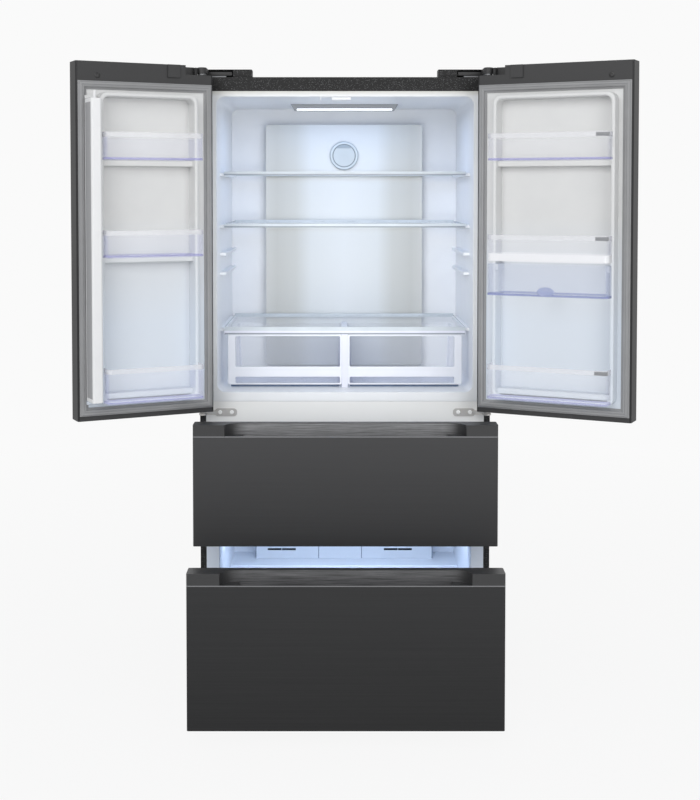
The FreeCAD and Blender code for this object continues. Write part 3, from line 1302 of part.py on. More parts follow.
def make_drawer(drawer):
    """One freezer drawer: steel front, scooped grip along its top, foam core, seal and basket."""
    frame = f"{drawer}_drawer"
    bottom = f"{drawer}_panel_bottom"
    top = f"{drawer}_panel_top"
    height = f"({top} - {bottom})"
    x = f"(-{HALF})"

    body = new_body(f"{drawer}_drawer_front")
    solid(
        body, "floor", (x, FRONT_FACE, bottom), ("cabinet_width", "front_thickness"), height, "front_radius"
    )
    cavity = (f"{x} + sheet", f"{FRONT_FACE} + sheet", f"{bottom} + sheet")
    cavity_size = ("cabinet_width - 2*sheet", "front_thickness - 2*sheet")
    hollow(body, "floor", cavity, cavity_size, height, "front_radius - sheet")
    mouth = (f"{x} + gasket_inset", f"{INNER_FACE} - 2*sheet", f"{bottom} + gasket_inset")
    hollow(body, "floor", mouth, ("cabinet_width - 2*gasket_inset", "4*sheet"), height)
    settle(body, f"{drawer}_drawer_front", frame)

    body = new_body(f"{drawer}_drawer_grip")
    solid(
        body,
        "floor",
        (x, FRONT_FACE, top),
        ("cabinet_width", "front_thickness"),
        "grip_height",
        "front_radius",
    )
    trough_x = f"(-{SCOOP_FLAT}/2 - grip_wall)"
    trough_width = f"({SCOOP_FLAT} + 2*grip_wall)"
    trough = (trough_x, f"{FRONT_FACE} + sheet", f"{top} - grip_pocket")
    solid(body, "floor", trough, (trough_width, "scoop_depth + grip_wall - sheet"), "grip_pocket")
    scoop = ("-scoop_width/2", f"{FRONT_FACE} - 2*scoop_radius", f"{top} + grip_wall")
    hollow(
        body, "floor", scoop, ("scoop_width", "scoop_depth + 2*scoop_radius"), "grip_height", "scoop_radius"
    )
    pocket = (f"-{SCOOP_FLAT}/2", f"{FRONT_FACE} + grip_wall", f"{top} - grip_pocket + grip_wall")
    hollow(body, "floor", pocket, (SCOOP_FLAT, "scoop_depth - grip_wall"), "grip_pocket + grip_height")
    settle(body, f"{drawer}_drawer_grip", frame)

    body = new_body(f"{drawer}_drawer_liner")
    inset = ("(gasket_inset - sheet)", "0")
    fill_front(body, x, "cabinet_width", f"({bottom} + sheet)", f"({height} - sheet)", inset)
    notch = (trough_x, f"{FRONT_FACE} - sheet", f"{top} - grip_pocket")
    hollow(body, "floor", notch, (trough_width, "scoop_depth + grip_wall + sheet"), "grip_pocket + sheet")
    settle(body, f"{drawer}_drawer_liner", frame)

    body = new_body(f"{drawer}_drawer_gasket")
    seal = (f"{x} + gasket_inset", INNER_FACE, f"({bottom} + drawer_gasket_bottom)")
    seal_height = f"({height} + grip_height - drawer_gasket_bottom - drawer_gasket_top)"
    seal_size = ("(cabinet_width - 2*gasket_inset)", seal_height)
    frame_ring(
        body, "front", seal, seal_size, "gasket_width", "gasket_gap - gasket_clearance", "front_radius"
    )
    settle(body, f"{drawer}_drawer_gasket", frame)

    body = new_body(f"{drawer}_drawer_basket")
    half_width = "(freezer_width/2 - slide_flange - 2*carrier_wall - basket_gap)"
    floor = f"({drawer}_slide_level - carrier_drop + carrier_wall)"
    basket_height = f"{drawer}_basket_height"
    corner = (f"-{half_width}", "basket_front", floor)
    size = (f"2*{half_width}", f"{drawer}_basket_depth")
    tub(body, corner, size, basket_height, "basket_wall", "basket_draft", "basket_radius")
    settle(body, f"{drawer}_drawer_basket", frame)


make_shell()
make_rear_panel()
make_foam()
make_fridge_liner()
make_freezer_liner()
make_front_rails()
make_base()
make_machine()
make_cold_air()
make_interior()
for side in ("left", "right"):
    make_crisper(side)
left_dyke = make_door("left")
right_dyke = make_door("right")
make_flap()
BASES = {"left": "0", "right": "right_bin_base"}
for side, dyke in (("left", left_dyke), ("right", right_dyke)):
    door = f"{side}_door"
    middle_floor = f"{side}_middle_bin_floor"
    middle_height = f"{side}_middle_bin_height"
    make_bin(f"{side}_upper_bin", door, dyke, "upper_bin_floor", "upper_bin_height")
    make_bin(f"{side}_middle_bin", door, dyke, middle_floor, middle_height, BASES[side])
    make_bin(f"{side}_lower_bin", door, dyke, "lower_bin_floor", "lower_bin_height", "0", "lower_bin_lift")
    floors_and_heights = (
        ("upper_bin_floor", "upper_bin_height"),
        (middle_floor, middle_height),
        ("lower_bin_floor", "lower_bin_height"),
    )
    make_bin_rails(side, dyke, [f"({floor} + {height})" for floor, height in floors_and_heights])
make_snack_drawer(right_dyke)
make_hinges()
make_slides()
for drawer in ("upper", "lower"):
    make_drawer(drawer)

document.recompute()
faults = [item.Name for item in document.Objects if "Invalid" in item.State or "Error" in item.State]
for name, piece in nodes.items():
    if piece.Shape.isNull() or not piece.Shape.isValid() or not piece.Shape.Solids:
        faults.append(name)
if faults:
    raise RuntimeError(f"these objects failed: {faults}")

os.makedirs("parts", exist_ok=True)
for name, piece in nodes.items():
    piece.Shape.exportStep(f"parts/{name}.step")
print(len(nodes), "nodes written")
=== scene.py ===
# %% [markdown]
# # French-door fridge freezer
#
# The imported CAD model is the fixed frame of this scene: a cabinet, two fridge doors that stand open and two
# freezer drawers that are pulled out. The lesson gives every surface its finish and adds the small pieces
# that only the eye needs, such as shaped door seals, screws and clips. Each added piece rides on one CAD
# body.

# %% Load the frame
import json
import math

import bmesh
import bpy
from mathutils import Matrix, Vector


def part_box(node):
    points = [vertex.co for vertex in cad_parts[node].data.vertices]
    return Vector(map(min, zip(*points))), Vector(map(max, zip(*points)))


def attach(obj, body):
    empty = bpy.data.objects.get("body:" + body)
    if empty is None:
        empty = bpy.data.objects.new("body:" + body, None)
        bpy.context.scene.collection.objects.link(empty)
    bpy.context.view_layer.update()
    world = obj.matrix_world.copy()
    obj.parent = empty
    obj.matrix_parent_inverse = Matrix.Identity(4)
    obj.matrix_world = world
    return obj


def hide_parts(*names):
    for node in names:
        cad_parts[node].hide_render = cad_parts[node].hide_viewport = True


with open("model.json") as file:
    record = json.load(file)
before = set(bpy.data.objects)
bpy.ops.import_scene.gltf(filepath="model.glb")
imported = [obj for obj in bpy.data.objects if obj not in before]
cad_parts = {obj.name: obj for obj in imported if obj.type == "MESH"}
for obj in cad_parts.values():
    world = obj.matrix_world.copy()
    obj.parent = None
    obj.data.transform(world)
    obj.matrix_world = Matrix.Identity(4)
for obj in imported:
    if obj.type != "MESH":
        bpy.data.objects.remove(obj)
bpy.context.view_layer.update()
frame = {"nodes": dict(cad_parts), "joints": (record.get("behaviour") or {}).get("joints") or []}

# %% [markdown]
# Everything is easier to place in the closed fridge's own frame: x from the cabinet's middle, y back from its
# front plane, z up from the floor. One matrix for each moving body then carries a piece to the open pose. Its
# numbers come from the frame's joints, so it follows if a door or drawer is opened farther in the CAD model.

# %% Closed frame and the matrices that open it
MM = 0.001
shell_low, shell_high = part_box("cabinet_shell")
CABINET = Matrix.Translation(((shell_low.x + shell_high.x) / 2, shell_low.y, 0))
joints = {joint["name"]: joint for joint in frame["joints"]}


def hinged(joint_name, closed):
    """Carry a piece from the closed hinge, whose own place is given, to where the open hinge leaves it."""
    joint = joints[joint_name]
    pivot = Matrix.Translation(joint["pos_m"])
    swing = Matrix.Rotation(math.radians(-joint["range_deg"][0]), 4, Vector(joint["axis"]))
    return pivot @ swing @ pivot.inverted() @ closed


def pulled(joint_name):
    """Carry a piece of a closed drawer to where the pulled drawer stands."""
    joint = joints[joint_name]
    return Matrix.Translation(Vector(joint["axis"]) * -joint["range_m"][0]) @ CABINET


PLACES = {
    "cabinet": CABINET,
    "filter_cap": CABINET,
    "left_door": hinged("left_door_hinge", CABINET),
    "right_door": hinged("right_door_hinge", CABINET),
    "snack_drawer": hinged("right_door_hinge", CABINET),
    "upper_drawer": pulled("upper_drawer_slide"),
    "lower_drawer": pulled("lower_drawer_slide"),
}
PLACES["mullion_flap"] = hinged("mullion_flap_hinge", PLACES["left_door"])
print("bodies with a place:", sorted(PLACES))

# %% [markdown]
# Colours are written as sRGB hex, as a picture shows them, and one function turns them to the linear light
# that shaders want. Another adds a node with its settings and links, in shader and geometry trees alike, so
# each finish reads as a short list of nodes. An input may be a number, a hex colour, a socket, or a node,
# which stands for its first output in use. The four kinds of node that finishes use most have short names.

# %% Colour and node helpers
MATH = "ShaderNodeMath"
MIX = "ShaderNodeMix"
NOISE = "ShaderNodeTexNoise"
RANGE = "ShaderNodeMapRange"


def linear(hex_text):
    values = [int(hex_text[place:place + 2], 16) / 255 for place in (1, 3, 5)]
    light = [value / 12.92 if value <= 0.04045 else ((value + 0.055) / 1.055) ** 2.4 for value in values]
    return light + [1.0]


def fill(node, inputs):
    """Set the inputs of a node that are constant and link the ones that vary."""
    for key, value in inputs.items():
        if isinstance(value, bpy.types.Node):
            value = next(socket for socket in value.outputs if socket.enabled)
        if isinstance(value, bpy.types.NodeSocket):
            node.id_data.links.new(value, node.inputs[key])
        else:
            node.inputs[key].default_value = linear(value) if isinstance(value, str) else value


def add(tree, kind, inputs=None, **settings):
    """Add one node, set its properties, then fill its inputs."""
    made = tree.nodes.new(kind)
    for name, value in settings.items():
        setattr(made, name, value)
    fill(made, inputs or {})
    return made


def new_finish(name):
    """An empty material, its tree, its shader and the object's own coordinates, in metres."""
    material = bpy.data.materials.new(name)
    material.use_nodes = True
    tree = material.node_tree
    tree.nodes.clear()
    shader = add(tree, "ShaderNodeBsdfPrincipled")
    add(tree, "ShaderNodeOutputMaterial", {"Surface": shader})
    return material, tree, shader, add(tree, "ShaderNodeTexCoord").outputs["Object"]


print("dark steel in linear light:", [round(value, 3) for value in linear("#4A4A4C")[:3]])

# %% [markdown]
# The stage is a plain pale floor under a white surround. Both are white only for what looks at them, the
# camera, reflections and glass, while the light that they give the fridge is softer. Near the fridge the
# floor keeps a small share of diffuse white, which takes a faint shadow. Farther out it passes into the
# surround's own tone, so no horizon shows.

# %% Floor and surround
BACKGROUND = "#FAFAFA"
FLOOR_SIZE = 60
FLOOR_NEAR = 0.8
FLOOR_FAR = 4.0


def looked_at(tree):
    """One where the camera, a reflection or glass looks, and nought where light is only gathered."""
    path = add(tree, "ShaderNodeLightPath").outputs
    seen = add(tree, MATH, {0: path["Is Camera Ray"], 1: path["Is Glossy Ray"]}, operation="MAXIMUM")
    return add(tree, MATH, {0: seen, 1: path["Is Transmission Ray"]}, operation="MAXIMUM")


scene = bpy.context.scene
scene.view_settings.view_transform = "Standard"
world = bpy.data.worlds.new("studio_surround")
scene.world = world
world.use_nodes = True
tree = world.node_tree
tree.nodes.clear()
soft = add(tree, "ShaderNodeBackground", {"Color": "#F4F7FA", "Strength": 0.55})
white = add(tree, "ShaderNodeBackground", {"Color": BACKGROUND})
both = add(tree, "ShaderNodeMixShader", {0: looked_at(tree), 1: soft, 2: white})
add(tree, "ShaderNodeOutputWorld", {"Surface": both})

bpy.ops.mesh.primitive_plane_add(size=FLOOR_SIZE, location=(0, 0, 0))
floor = bpy.context.object
floor.name = "studio_floor"
floor_paint, tree, shader, place = new_finish("studio_floor_paint")
fill(shader, {"Base Color": "#F4F4F4", "Roughness": 0.9})
reach = add(tree, "ShaderNodeVectorMath", {0: place}, operation="LENGTH")
share = add(tree, RANGE, {"Value": reach, "From Min": FLOOR_NEAR, "From Max": FLOOR_FAR, "To Min": 0.94})
share = add(tree, MATH, {0: share, 1: looked_at(tree)}, operation="MULTIPLY")
glow = add(tree, "ShaderNodeEmission", {"Color": BACKGROUND})
mixed = add(tree, "ShaderNodeMixShader", {0: share, 1: shader, 2: glow})
fill(tree.nodes["Material Output"], {"Surface": mixed})
floor.data.materials.append(floor_paint)
print("floor and surround made")

# %% [markdown]
# The photograph was taken from about 4 m with upright lines kept upright, so the camera looks almost level
# and its lens is shifted down, as with a view camera. Part of that shift is given as a slight tilt instead,
# so that other views of the model stay in the frame.

# %% Camera
LENS_MM = 60.1
SENSOR_MM = 36
LENS_SHIFT = (0.01654, -0.19)
TILT_DOWN = 2.263
CAMERA_PLACE = (-0.0459, -3.9855, 1.4582)
camera_data = bpy.data.cameras.new("view_camera")
camera_data.lens = LENS_MM
camera_data.sensor_width = SENSOR_MM
camera_data.shift_x, camera_data.shift_y = LENS_SHIFT
camera = bpy.data.objects.new("view_camera", camera_data)
scene.collection.objects.link(camera)
camera.location = CAMERA_PLACE
camera.rotation_euler = (math.radians(90 - TILT_DOWN), 0, 0)
scene.camera = camera
print("camera at", tuple(round(value, 3) for value in camera.location))

# %% [markdown]
# Product light: one large soft lamp from the upper left, a weaker one from the right, and the fridge's own
# cool white lamp. That one is an area light just below the lens, because a glowing mesh alone would need many
# samples to light the liner without noise. Two weak lamps stand for the light that a white liner throws
# about: one before the fridge's mouth, facing in and not seen in reflections, and one over the freezer's
# mouth.

# %% Lamps
def area_lamp(name, place, aim, size, watts, colour):
    data = bpy.data.lights.new(name, "AREA")
    data.shape = "RECTANGLE"
    data.size, data.size_y = size
    data.energy = watts
    data.color = linear(colour)[:3]
    lamp = bpy.data.objects.new(name, data)
    scene.collection.objects.link(lamp)
    lamp.location = place
    lamp.rotation_euler = Vector(aim).to_track_quat("-Z", "Y").to_euler()
    return lamp


GLOW_SPREAD = math.radians(105)
area_lamp("key_softbox", (-1.9, -4.9, 3.4), (1.9, 4.9, -2.4), (3.0, 3.0), 98, "#FFFFFF")
area_lamp("fill_softbox", (2.1, -4.5, 2.2), (-2.1, 4.5, -1.2), (2.5, 2.5), 44, "#FFFFFF")
area_lamp("fridge_lamp", CABINET @ Vector((0, 0.22, 1.712)), (0, 0.02, -1), (0.5, 0.2), 1.0, "#AFCDFF")
glow = area_lamp("fridge_glow", CABINET @ Vector((0, -0.3, 1.3)), (0, 1, 0), (0.6, 0.7), 1.25, "#F6F8FB")
glow.data.spread = GLOW_SPREAD
glow.visible_glossy = False
area_lamp("freezer_glow", CABINET @ Vector((0, 0.07, 0.506)), (0, 1, -0.3), (0.76, 0.02), 2.2, "#E3EDFB")

# %% [markdown]
# Most finishes need one of two patterns. No moulding or coating has quite one colour, so a noise passes
# between two close tones. And where one CAD node has two looks, the tone changes on the way from one level to
# another.

# %% Two patterns that finishes share
def cloudy(vector, per_metre, colour, shade, detail=2):
    """A noise with so many clouds to the metre, and a tone that follows it from one colour to another."""
    tree = vector.id_data
    clouds = add(tree, NOISE, {"Vector": vector, "Scale": per_metre, "Detail": detail})
    return clouds, add(tree, MIX, {"Factor": clouds, "A": colour, "B": shade}, data_type="RGBA")


def along(place, axis, start, end):
    """How far a point has come from one level to another along an axis, from nought to one."""
    tree = place.id_data
    parts = add(tree, "ShaderNodeSeparateXYZ", {"Vector": place})
    return add(tree, RANGE, {"Value": parts.outputs[axis], "From Min": start, "From Max": end})


print("patterns ready")

# %% [markdown]
# The doors' and drawers' outsides are stainless sheet under a dark satin coating, brushed along the width.
# Brush lines are about 0.3 mm apart, far too fine for the picture, so they are drawn some 4 mm apart and kept
# faint. They go into the bump and, a little, into the colour. Each front is painted darker towards its foot,
# a painted shade for the shaded room that it faces, and the lower drawer is painted darker than the upper,
# painted shade as well. A plain grey would look like board.

# %% Dark coated steel
BRUSH_PER_M = (2.5, 2.5, 260)


def coated_steel(name, node, head, foot):
    """Brushed coating that passes from the head's tone to the foot's over the height of a node, a painted
    shade.
    """
    low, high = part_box(node)
    material, tree, shader, place = new_finish(name)
    height = along(place, "Z", low.z, high.z)
    stretched = add(tree, "ShaderNodeMapping", {"Vector": place, "Scale": BRUSH_PER_M})
    lines = add(tree, NOISE, {"Vector": stretched, "Scale": 1.0, "Detail": 3})
    broad = add(tree, NOISE, {"Vector": place, "Scale": 2.2, "Detail": 1})
    tone = add(tree, MIX, {"Factor": height, "A": foot, "B": head}, data_type="RGBA")
    streak = add(tree, RANGE, {"Value": lines, "To Max": 0.1})
    tone = add(tree, MIX, {"Factor": streak, "A": tone, "B": "#5C5C5D"}, data_type="RGBA")
    mottled = add(tree, RANGE, {"Value": broad, "To Min": 0.44, "To Max": 0.56})
    grain = add(tree, "ShaderNodeBump", {"Height": lines, "Strength": 0.05, "Distance": 0.4 * MM})
    fill(shader, {"Base Color": tone, "Metallic": 0.3, "Specular IOR Level": 0.35, "Roughness": mottled,
                  "Normal": grain})
    return material


# Painted shade: each front darker towards its foot, and the lower drawer darker than the upper.
upper_steel = coated_steel("upper_coated_steel_painted_shade", "upper_drawer_front", "#414142", "#2B2B2C")
lower_steel = coated_steel("lower_coated_steel_painted_shade", "lower_drawer_front", "#2B2B2C", "#1B1B1C")
door_steel = coated_steel("door_coated_steel_painted_shade", "left_door_skin", "#242425", "#1F1F20")
print("made", upper_steel.name, lower_steel.name, door_steel.name)

# %% [markdown]
# The cabinet's wrapper is pre-coated sheet with a pebbled, slightly sparkling black face, which shows best on
# the band over the fridge. Its flecks are under a millimetre on the real sheet and are drawn about 2 mm apart
# here. They are pale specks in the colour, which stand for the sheet's own specks and also paint its sparkle
# as a painted highlight. A Voronoi pattern gives separate flecks, where plain noise would give clouds.

# %% Pebbled sheet of the wrapper
FLECKS_PER_M = 520.0
PLAIN_SHARE = 0.7
speckled, tree, shader, place = new_finish("pebbled_coated_sheet")
cells = add(tree, "ShaderNodeTexVoronoi", {"Vector": place, "Scale": FLECKS_PER_M}).outputs
fleck = add(tree, RANGE, {"Value": cells["Distance"], "From Min": 0.34, "From Max": 0.12})
chosen = add(tree, "ShaderNodeSeparateColor", {"Color": cells["Color"]})
bright = add(tree, MATH, {0: chosen, 1: PLAIN_SHARE}, operation="GREATER_THAN")
fleck = add(tree, MATH, {0: fleck, 1: bright}, operation="MULTIPLY")
# Pale flecks: the sheet's own specks, and its sparkle as a painted highlight.
tone = add(tree, MIX, {"Factor": fleck, "A": "#0E0E0F", "B": "#A0A0A2"}, data_type="RGBA")
pebbles = add(tree, "ShaderNodeBump", {"Height": cells["Distance"], "Strength": 0.25, "Distance": 0.8 * MM})
fill(shader, {"Base Color": tone, "Roughness": 0.5, "Specular IOR Level": 0.3, "Normal": pebbles})
print("made", speckled.name)

# %% [markdown]
# The liners and white mouldings are polystyrene: a dense white plastic with a soft gloss. Vacuum-forming
# leaves rounded edges and a very slight waviness, some 60 mm from crest to crest. The edges get a small bevel
# in the shader, so light catches them, and a low wide noise gives the waviness. The front flange over the
# fridge is painted greyer, a painted shade, as it looks away from the lamp, and the doors' liners are painted
# bluer at the foot, a painted cast of cool light.

# %% White moulded styrene
WAVES_PER_M = 16.0


def moulding(name, colour, shade, roughness, edge_mm, change=None):
    """Styrene in two close tones and, where a change is given, passing to its painted light between two
    levels.
    """
    material, tree, shader, place = new_finish(f"{name}_styrene")
    wave, tone = cloudy(place, WAVES_PER_M, colour, shade)
    if change is not None:
        start, end, other = change
        share = along(place, "Z", start, end)
        tone = add(tree, MIX, {"Factor": share, "A": tone, "B": other}, data_type="RGBA")
    edge = add(tree, "ShaderNodeBevel", {"Radius": edge_mm * MM}, samples=6)
    skin = add(tree, "ShaderNodeBump", {"Height": wave, "Strength": 0.08, "Distance": 1 * MM, "Normal": edge})
    fill(shader, {"Base Color": tone, "Roughness": roughness, "IOR": 1.55, "Normal": skin})
    return material


# Painted shade on the flange, and a painted cast of cool light at the foot of the doors' liners.
FLANGE_PAINTED_SHADE = (1.742, 1.752, "#D6D5D1")
DOOR_FOOT_PAINTED_COOL_LIGHT = (1.4, 1.1, "#DAE1EA")
liner_white = moulding("white_formed", "#EDEFF1", "#E6E8EB", 0.35, 4, FLANGE_PAINTED_SHADE)
door_white = moulding("door_liner", "#DDDDDC", "#D6D6D6", 0.35, 5, DOOR_FOOT_PAINTED_COOL_LIGHT)
flap_white = moulding("flap", "#EBEBEB", "#E5E5E6", 0.35, 2)
freezer_white = moulding("freezer_liner", "#DDE4EE", "#D5DDE9", 0.4, 3)
# The freezer's back panel is painted darker than its liner: painted shade, as it stands nearer the lamp.
vent_white_painted_shade = moulding("freezer_vent", "#BFC6D0", "#B8C0CB", 0.4, 3)
bright_white = moulding("bright_white", "#E0E2E9", "#D9DCE4", 0.25, 2)
frame_white = moulding("crisper_frame", "#DADCE8", "#D2D4E2", 0.3, 2)
cap_grip = moulding("cap_grip", "#A3AEB6", "#9DA9B1", 0.3, 0.5)
trim_white = moulding("shelf_trim", "#CBD2D7", "#B3BBC2", 0.3, 1.5)
basket_white = moulding("basket", "#DCE6F3", "#D4E0F0", 0.35, 3)
lamp_grey = moulding("lamp_housing", "#9FA1A3", "#989A9C", 0.45, 2)
print("mouldings:", len([item for item in bpy.data.materials if "styrene" in item.name]))

# %% [markdown]
# The doors' dark end caps and the shrouds of the top hinges are ABS with a fine moulded texture. Its grain is
# about half a millimetre, too fine for the picture, so it is drawn a little over twice as coarse.

# %% Dark textured ABS
GRAIN_MM = 1.2


def dark_abs(name, colour, shade, roughness):
    material, tree, shader, place = new_finish(name)
    grain, tone = cloudy(place, 1 / (GRAIN_MM * MM), colour, shade)
    edge = add(tree, "ShaderNodeBevel", {"Radius": 1.5 * MM}, samples=4)
    skin = add(tree, "ShaderNodeBump", {"Height": grain, "Strength": 0.12, "Distance": 0.5 * MM,
                                        "Normal": edge})
    fill(shader, {"Base Color": tone, "Roughness": roughness, "Normal": skin})
    return material


cap_dark = dark_abs("dark_textured_abs", "#232324", "#303031", 0.55)
cover_dark = dark_abs("black_textured_abs", "#1A1A1B", "#29292A", 0.5)
print("made", cap_dark.name, "and", cover_dark.name)

# %% [markdown]
# The seals are soft grey PVC, extruded and welded at mitred corners. PVC is dull, with a faint bloom in
# clouds of some 70 mm, so the finish is rough with a broad tone change and no sparkle.

# %% Grey PVC seal
BLOOM_PER_M = 14.0
seal_grey, tree, shader, place = new_finish("grey_pvc_seal")
tone = cloudy(place, BLOOM_PER_M, "#8C8C8D", "#9A9A9B", 3)[1]
fill(shader, {"Base Color": tone, "Roughness": 0.6})
print("made", seal_grey.name)

# %% [markdown]
# Bins, tubs and the snack drawer are clear polystyrene with a cool violet tint at the edges, and the shelves
# are clear glass. True refraction would cast the dark shadows of a lens on the white liner, since the light
# of area lamps hardly finds its way through it. A thin alpha lets the light through, as a 2 mm wall does.
# What is seen along its own plane, a floor or a side wall, gathers colour on the real moulding, so such faces
# get the tint.

# %% Clear and tinted styrene
RIPPLES_PER_M = 30.0


def clear_plastic(name, body, wall, rim, opacity, base=None):
    """Clear front, tinted floor and side walls and, where a base is given, its colour up to its height."""
    wall_opacity, rim_opacity = opacity
    material, tree, shader, place = new_finish(name)
    ripple = add(tree, NOISE, {"Vector": place, "Scale": RIPPLES_PER_M})
    haze = add(tree, RANGE, {"Value": ripple, "To Min": 0.05, "To Max": 0.11})
    normal = add(tree, "ShaderNodeNewGeometry").outputs["Normal"]
    parts = add(tree, "ShaderNodeSeparateXYZ", {"Vector": normal})
    flat = add(tree, MATH, {0: parts.outputs["Z"]}, operation="ABSOLUTE")
    across = PLACES[body].to_3x3() @ Vector((1, 0, 0))
    sideways = add(tree, "ShaderNodeVectorMath", {0: normal, 1: across}, operation="DOT_PRODUCT")
    sideways = add(tree, MATH, {0: sideways}, operation="ABSOLUTE")
    gathered = add(tree, MATH, {0: flat, 1: sideways}, operation="MAXIMUM")
    lying = add(tree, RANGE, {"Value": gathered, "From Min": 0.5, "From Max": 0.9})
    tone = add(tree, MIX, {"Factor": lying, "A": wall, "B": rim}, data_type="RGBA")
    density = add(tree, RANGE, {"Value": lying, "To Min": wall_opacity, "To Max": rim_opacity})
    if base is not None:
        base_top, base_colour, base_opacity, flattest = base
        spot = add(tree, "ShaderNodeSeparateXYZ", {"Vector": place})
        low = add(tree, MATH, {0: spot.outputs["Z"], 1: base_top}, operation="LESS_THAN")
        steep = add(tree, MATH, {0: flat, 1: flattest}, operation="LESS_THAN")
        low = add(tree, MATH, {0: low, 1: steep}, operation="MULTIPLY")
        tone = add(tree, MIX, {"Factor": low, "A": tone, "B": base_colour}, data_type="RGBA")
        covered = add(tree, MATH, {0: low, 1: base_opacity}, operation="MULTIPLY")
        density = add(tree, MATH, {0: density, 1: covered}, operation="MAXIMUM")
    fill(shader, {"Base Color": tone, "Roughness": haze, "IOR": 1.49, "Alpha": density})
    return material


print("clear finish ready, ripples", round(1 / (RIPPLES_PER_M * MM)), "mm wide")

# %% [markdown]
# Each bin has its own line of colour along its foot, because it stands at its own height. The right door's
# middle bin stands on a white base instead, and a shelf's glass is dark where its cut edge shows.

# %% Bins, drawer, tubs and glass
UPRIGHT_ONLY = 0.7
EVERY_FACE = 2.0
EDGE_LINE = 6 * MM
WHITE_BASE = 20.5 * MM
BINS = ["left_upper_bin", "left_middle_bin", "left_lower_bin", "right_upper_bin", "right_lower_bin"]
TINTS = {"left_door": ("#E6E8F4", "#C4C7EA", (0.1, 0.2)), "right_door": ("#ECEDF3", "#D4D5E8", (0.08, 0.15))}


def foot_line(node, colour, opacity):
    """The base of a clear piece: a narrow line along the foot of its upright walls."""
    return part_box(node)[0].z + EDGE_LINE, colour, opacity, UPRIGHT_ONLY


clear_bins = {}
for name in BINS:
    body = f"{name.split('_')[0]}_door"
    line = foot_line(name, "#A3A3D8", 0.4)
    clear_bins[name] = clear_plastic(f"clear_styrene_{name}", body, *TINTS[body], line)
white_base = (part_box("right_middle_bin")[0].z + WHITE_BASE, "#F1F1F4", 1.0, EVERY_FACE)
bin_based = clear_plastic("clear_styrene_on_white", "right_door", *TINTS["right_door"], white_base)
snack_line = foot_line("snack_drawer", "#8790BE", 0.65)
snack_clear = clear_plastic("clear_drawer_styrene", "right_door", "#C9D0E2", "#B6BFDA", (0.16, 0.26),
                            snack_line)
# The tubs' dark foot line is the tint of their clear edge and also a painted shadow along their foot.
tub_tint_and_shadow_line = foot_line("crisper_tub_left", "#5C6C84", 0.85)
tub_clear = clear_plastic("clear_tub_styrene", "cabinet", "#EEF2FC", "#B9BDE6", (0.05, 0.2), tub_tint_and_shadow_line)
rail_smoke = clear_plastic("smoky_rail_styrene", "cabinet", "#E8E8EC", "#D0D0D8", (0.4, 0.55))
glass_edge = (shell_high.z, "#4A6570", 0.8, UPRIGHT_ONLY)
pane = clear_plastic("clear_shelf_glass", "cabinet", "#9CC8BE", "#EFF7F7", (0.3, 0.14), glass_edge)
tab_clear = clear_plastic("clear_tab_styrene", "right_door", "#AEB7DA", "#A3ACD4", (0.5, 0.5))
print("clear finishes:", len(clear_bins), "bins,", tub_clear.name, rail_smoke.name, pane.name)

# %% [markdown]
# The air column inside the fridge is satin stainless sheet. Its colour is a painted reflection: bright along
# its middle, where it looks out of the open fridge, and greyer in two soft upright bands at its sides. The
# round cap over the filter has a clear outer ring, a dark groove and a silvery disc, and the groove's dark
# ring is painted shade. Both are tones that change with the distance from the piece's middle, so one function
# makes them, with a short list of stops from the middle out. Their brushing is drawn 4 mm wide.

# %% Bands and rings about a middle
FINE_BRUSH_PER_M = (260, 260, 4)


def banded(name, node, mask, stops, metallic, roughness):
    low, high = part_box(node)
    material, tree, shader, place = new_finish(name)
    offset = add(tree, "ShaderNodeVectorMath", {0: place, 1: (low + high) / 2}, operation="SUBTRACT")
    masked = add(tree, "ShaderNodeVectorMath", {0: offset, 1: mask}, operation="MULTIPLY")
    reach = add(tree, "ShaderNodeVectorMath", {0: masked}, operation="LENGTH")
    share = add(tree, MATH, {0: reach, 1: (high.x - low.x) / 2}, operation="DIVIDE")
    ramp = add(tree, "ShaderNodeValToRGB", {"Fac": share})
    for number, (stop, colour) in enumerate(stops):
        point = ramp.color_ramp.elements[number] if number < 2 else ramp.color_ramp.elements.new(stop)
        point.position = stop
        point.color = linear(colour)
    brushing = add(tree, "ShaderNodeMapping", {"Vector": place, "Scale": FINE_BRUSH_PER_M})
    lines = add(tree, NOISE, {"Vector": brushing, "Scale": 1.0})
    dull = add(tree, RANGE, {"Value": lines, "To Min": roughness, "To Max": roughness + 0.1})
    fill(shader, {"Base Color": ramp, "Metallic": metallic, "Roughness": dull})
    return material


# A painted reflection: light along the column's middle and greyer in bands at its sides.
DUCT_PAINTED_REFLECTION = [(0.0, "#D0D5D9"), (1.0, "#C9CBC9"), (0.42, "#CDD2D5"), (0.62, "#C0C3C2"), (0.86, "#BEC0BE")]
# The dark stop at 0.78 is the groove's painted shade.
CAP_RINGS = [(0.0, "#B9C3CA"), (1.0, "#B4BEC5"), (0.74, "#BEC8CF"), (0.78, "#56646F"), (0.85, "#C3CDD4"),
             (0.93, "#C6D0D7"), (0.97, "#B4BEC5")]
duct_satin_painted_reflection = banded("satin_stainless_painted_reflection", "fridge_air_duct", (1, 0, 0), DUCT_PAINTED_REFLECTION, 0.6, 0.36)
cap_rings = banded("silvered_cap", "filter_cap", (1, 0, 1), CAP_RINGS, 0.5, 0.25)
print("made", duct_satin_painted_reflection.name, "and", cap_rings.name)

# %% [markdown]
# Zinc-plated steel makes the lower hinges, slides and rear sheet: grey and bright, with a spangle of cloudy
# crystals. The top hinges are darker, and as the hinges are one CAD node, their finish changes half-way
# between them.

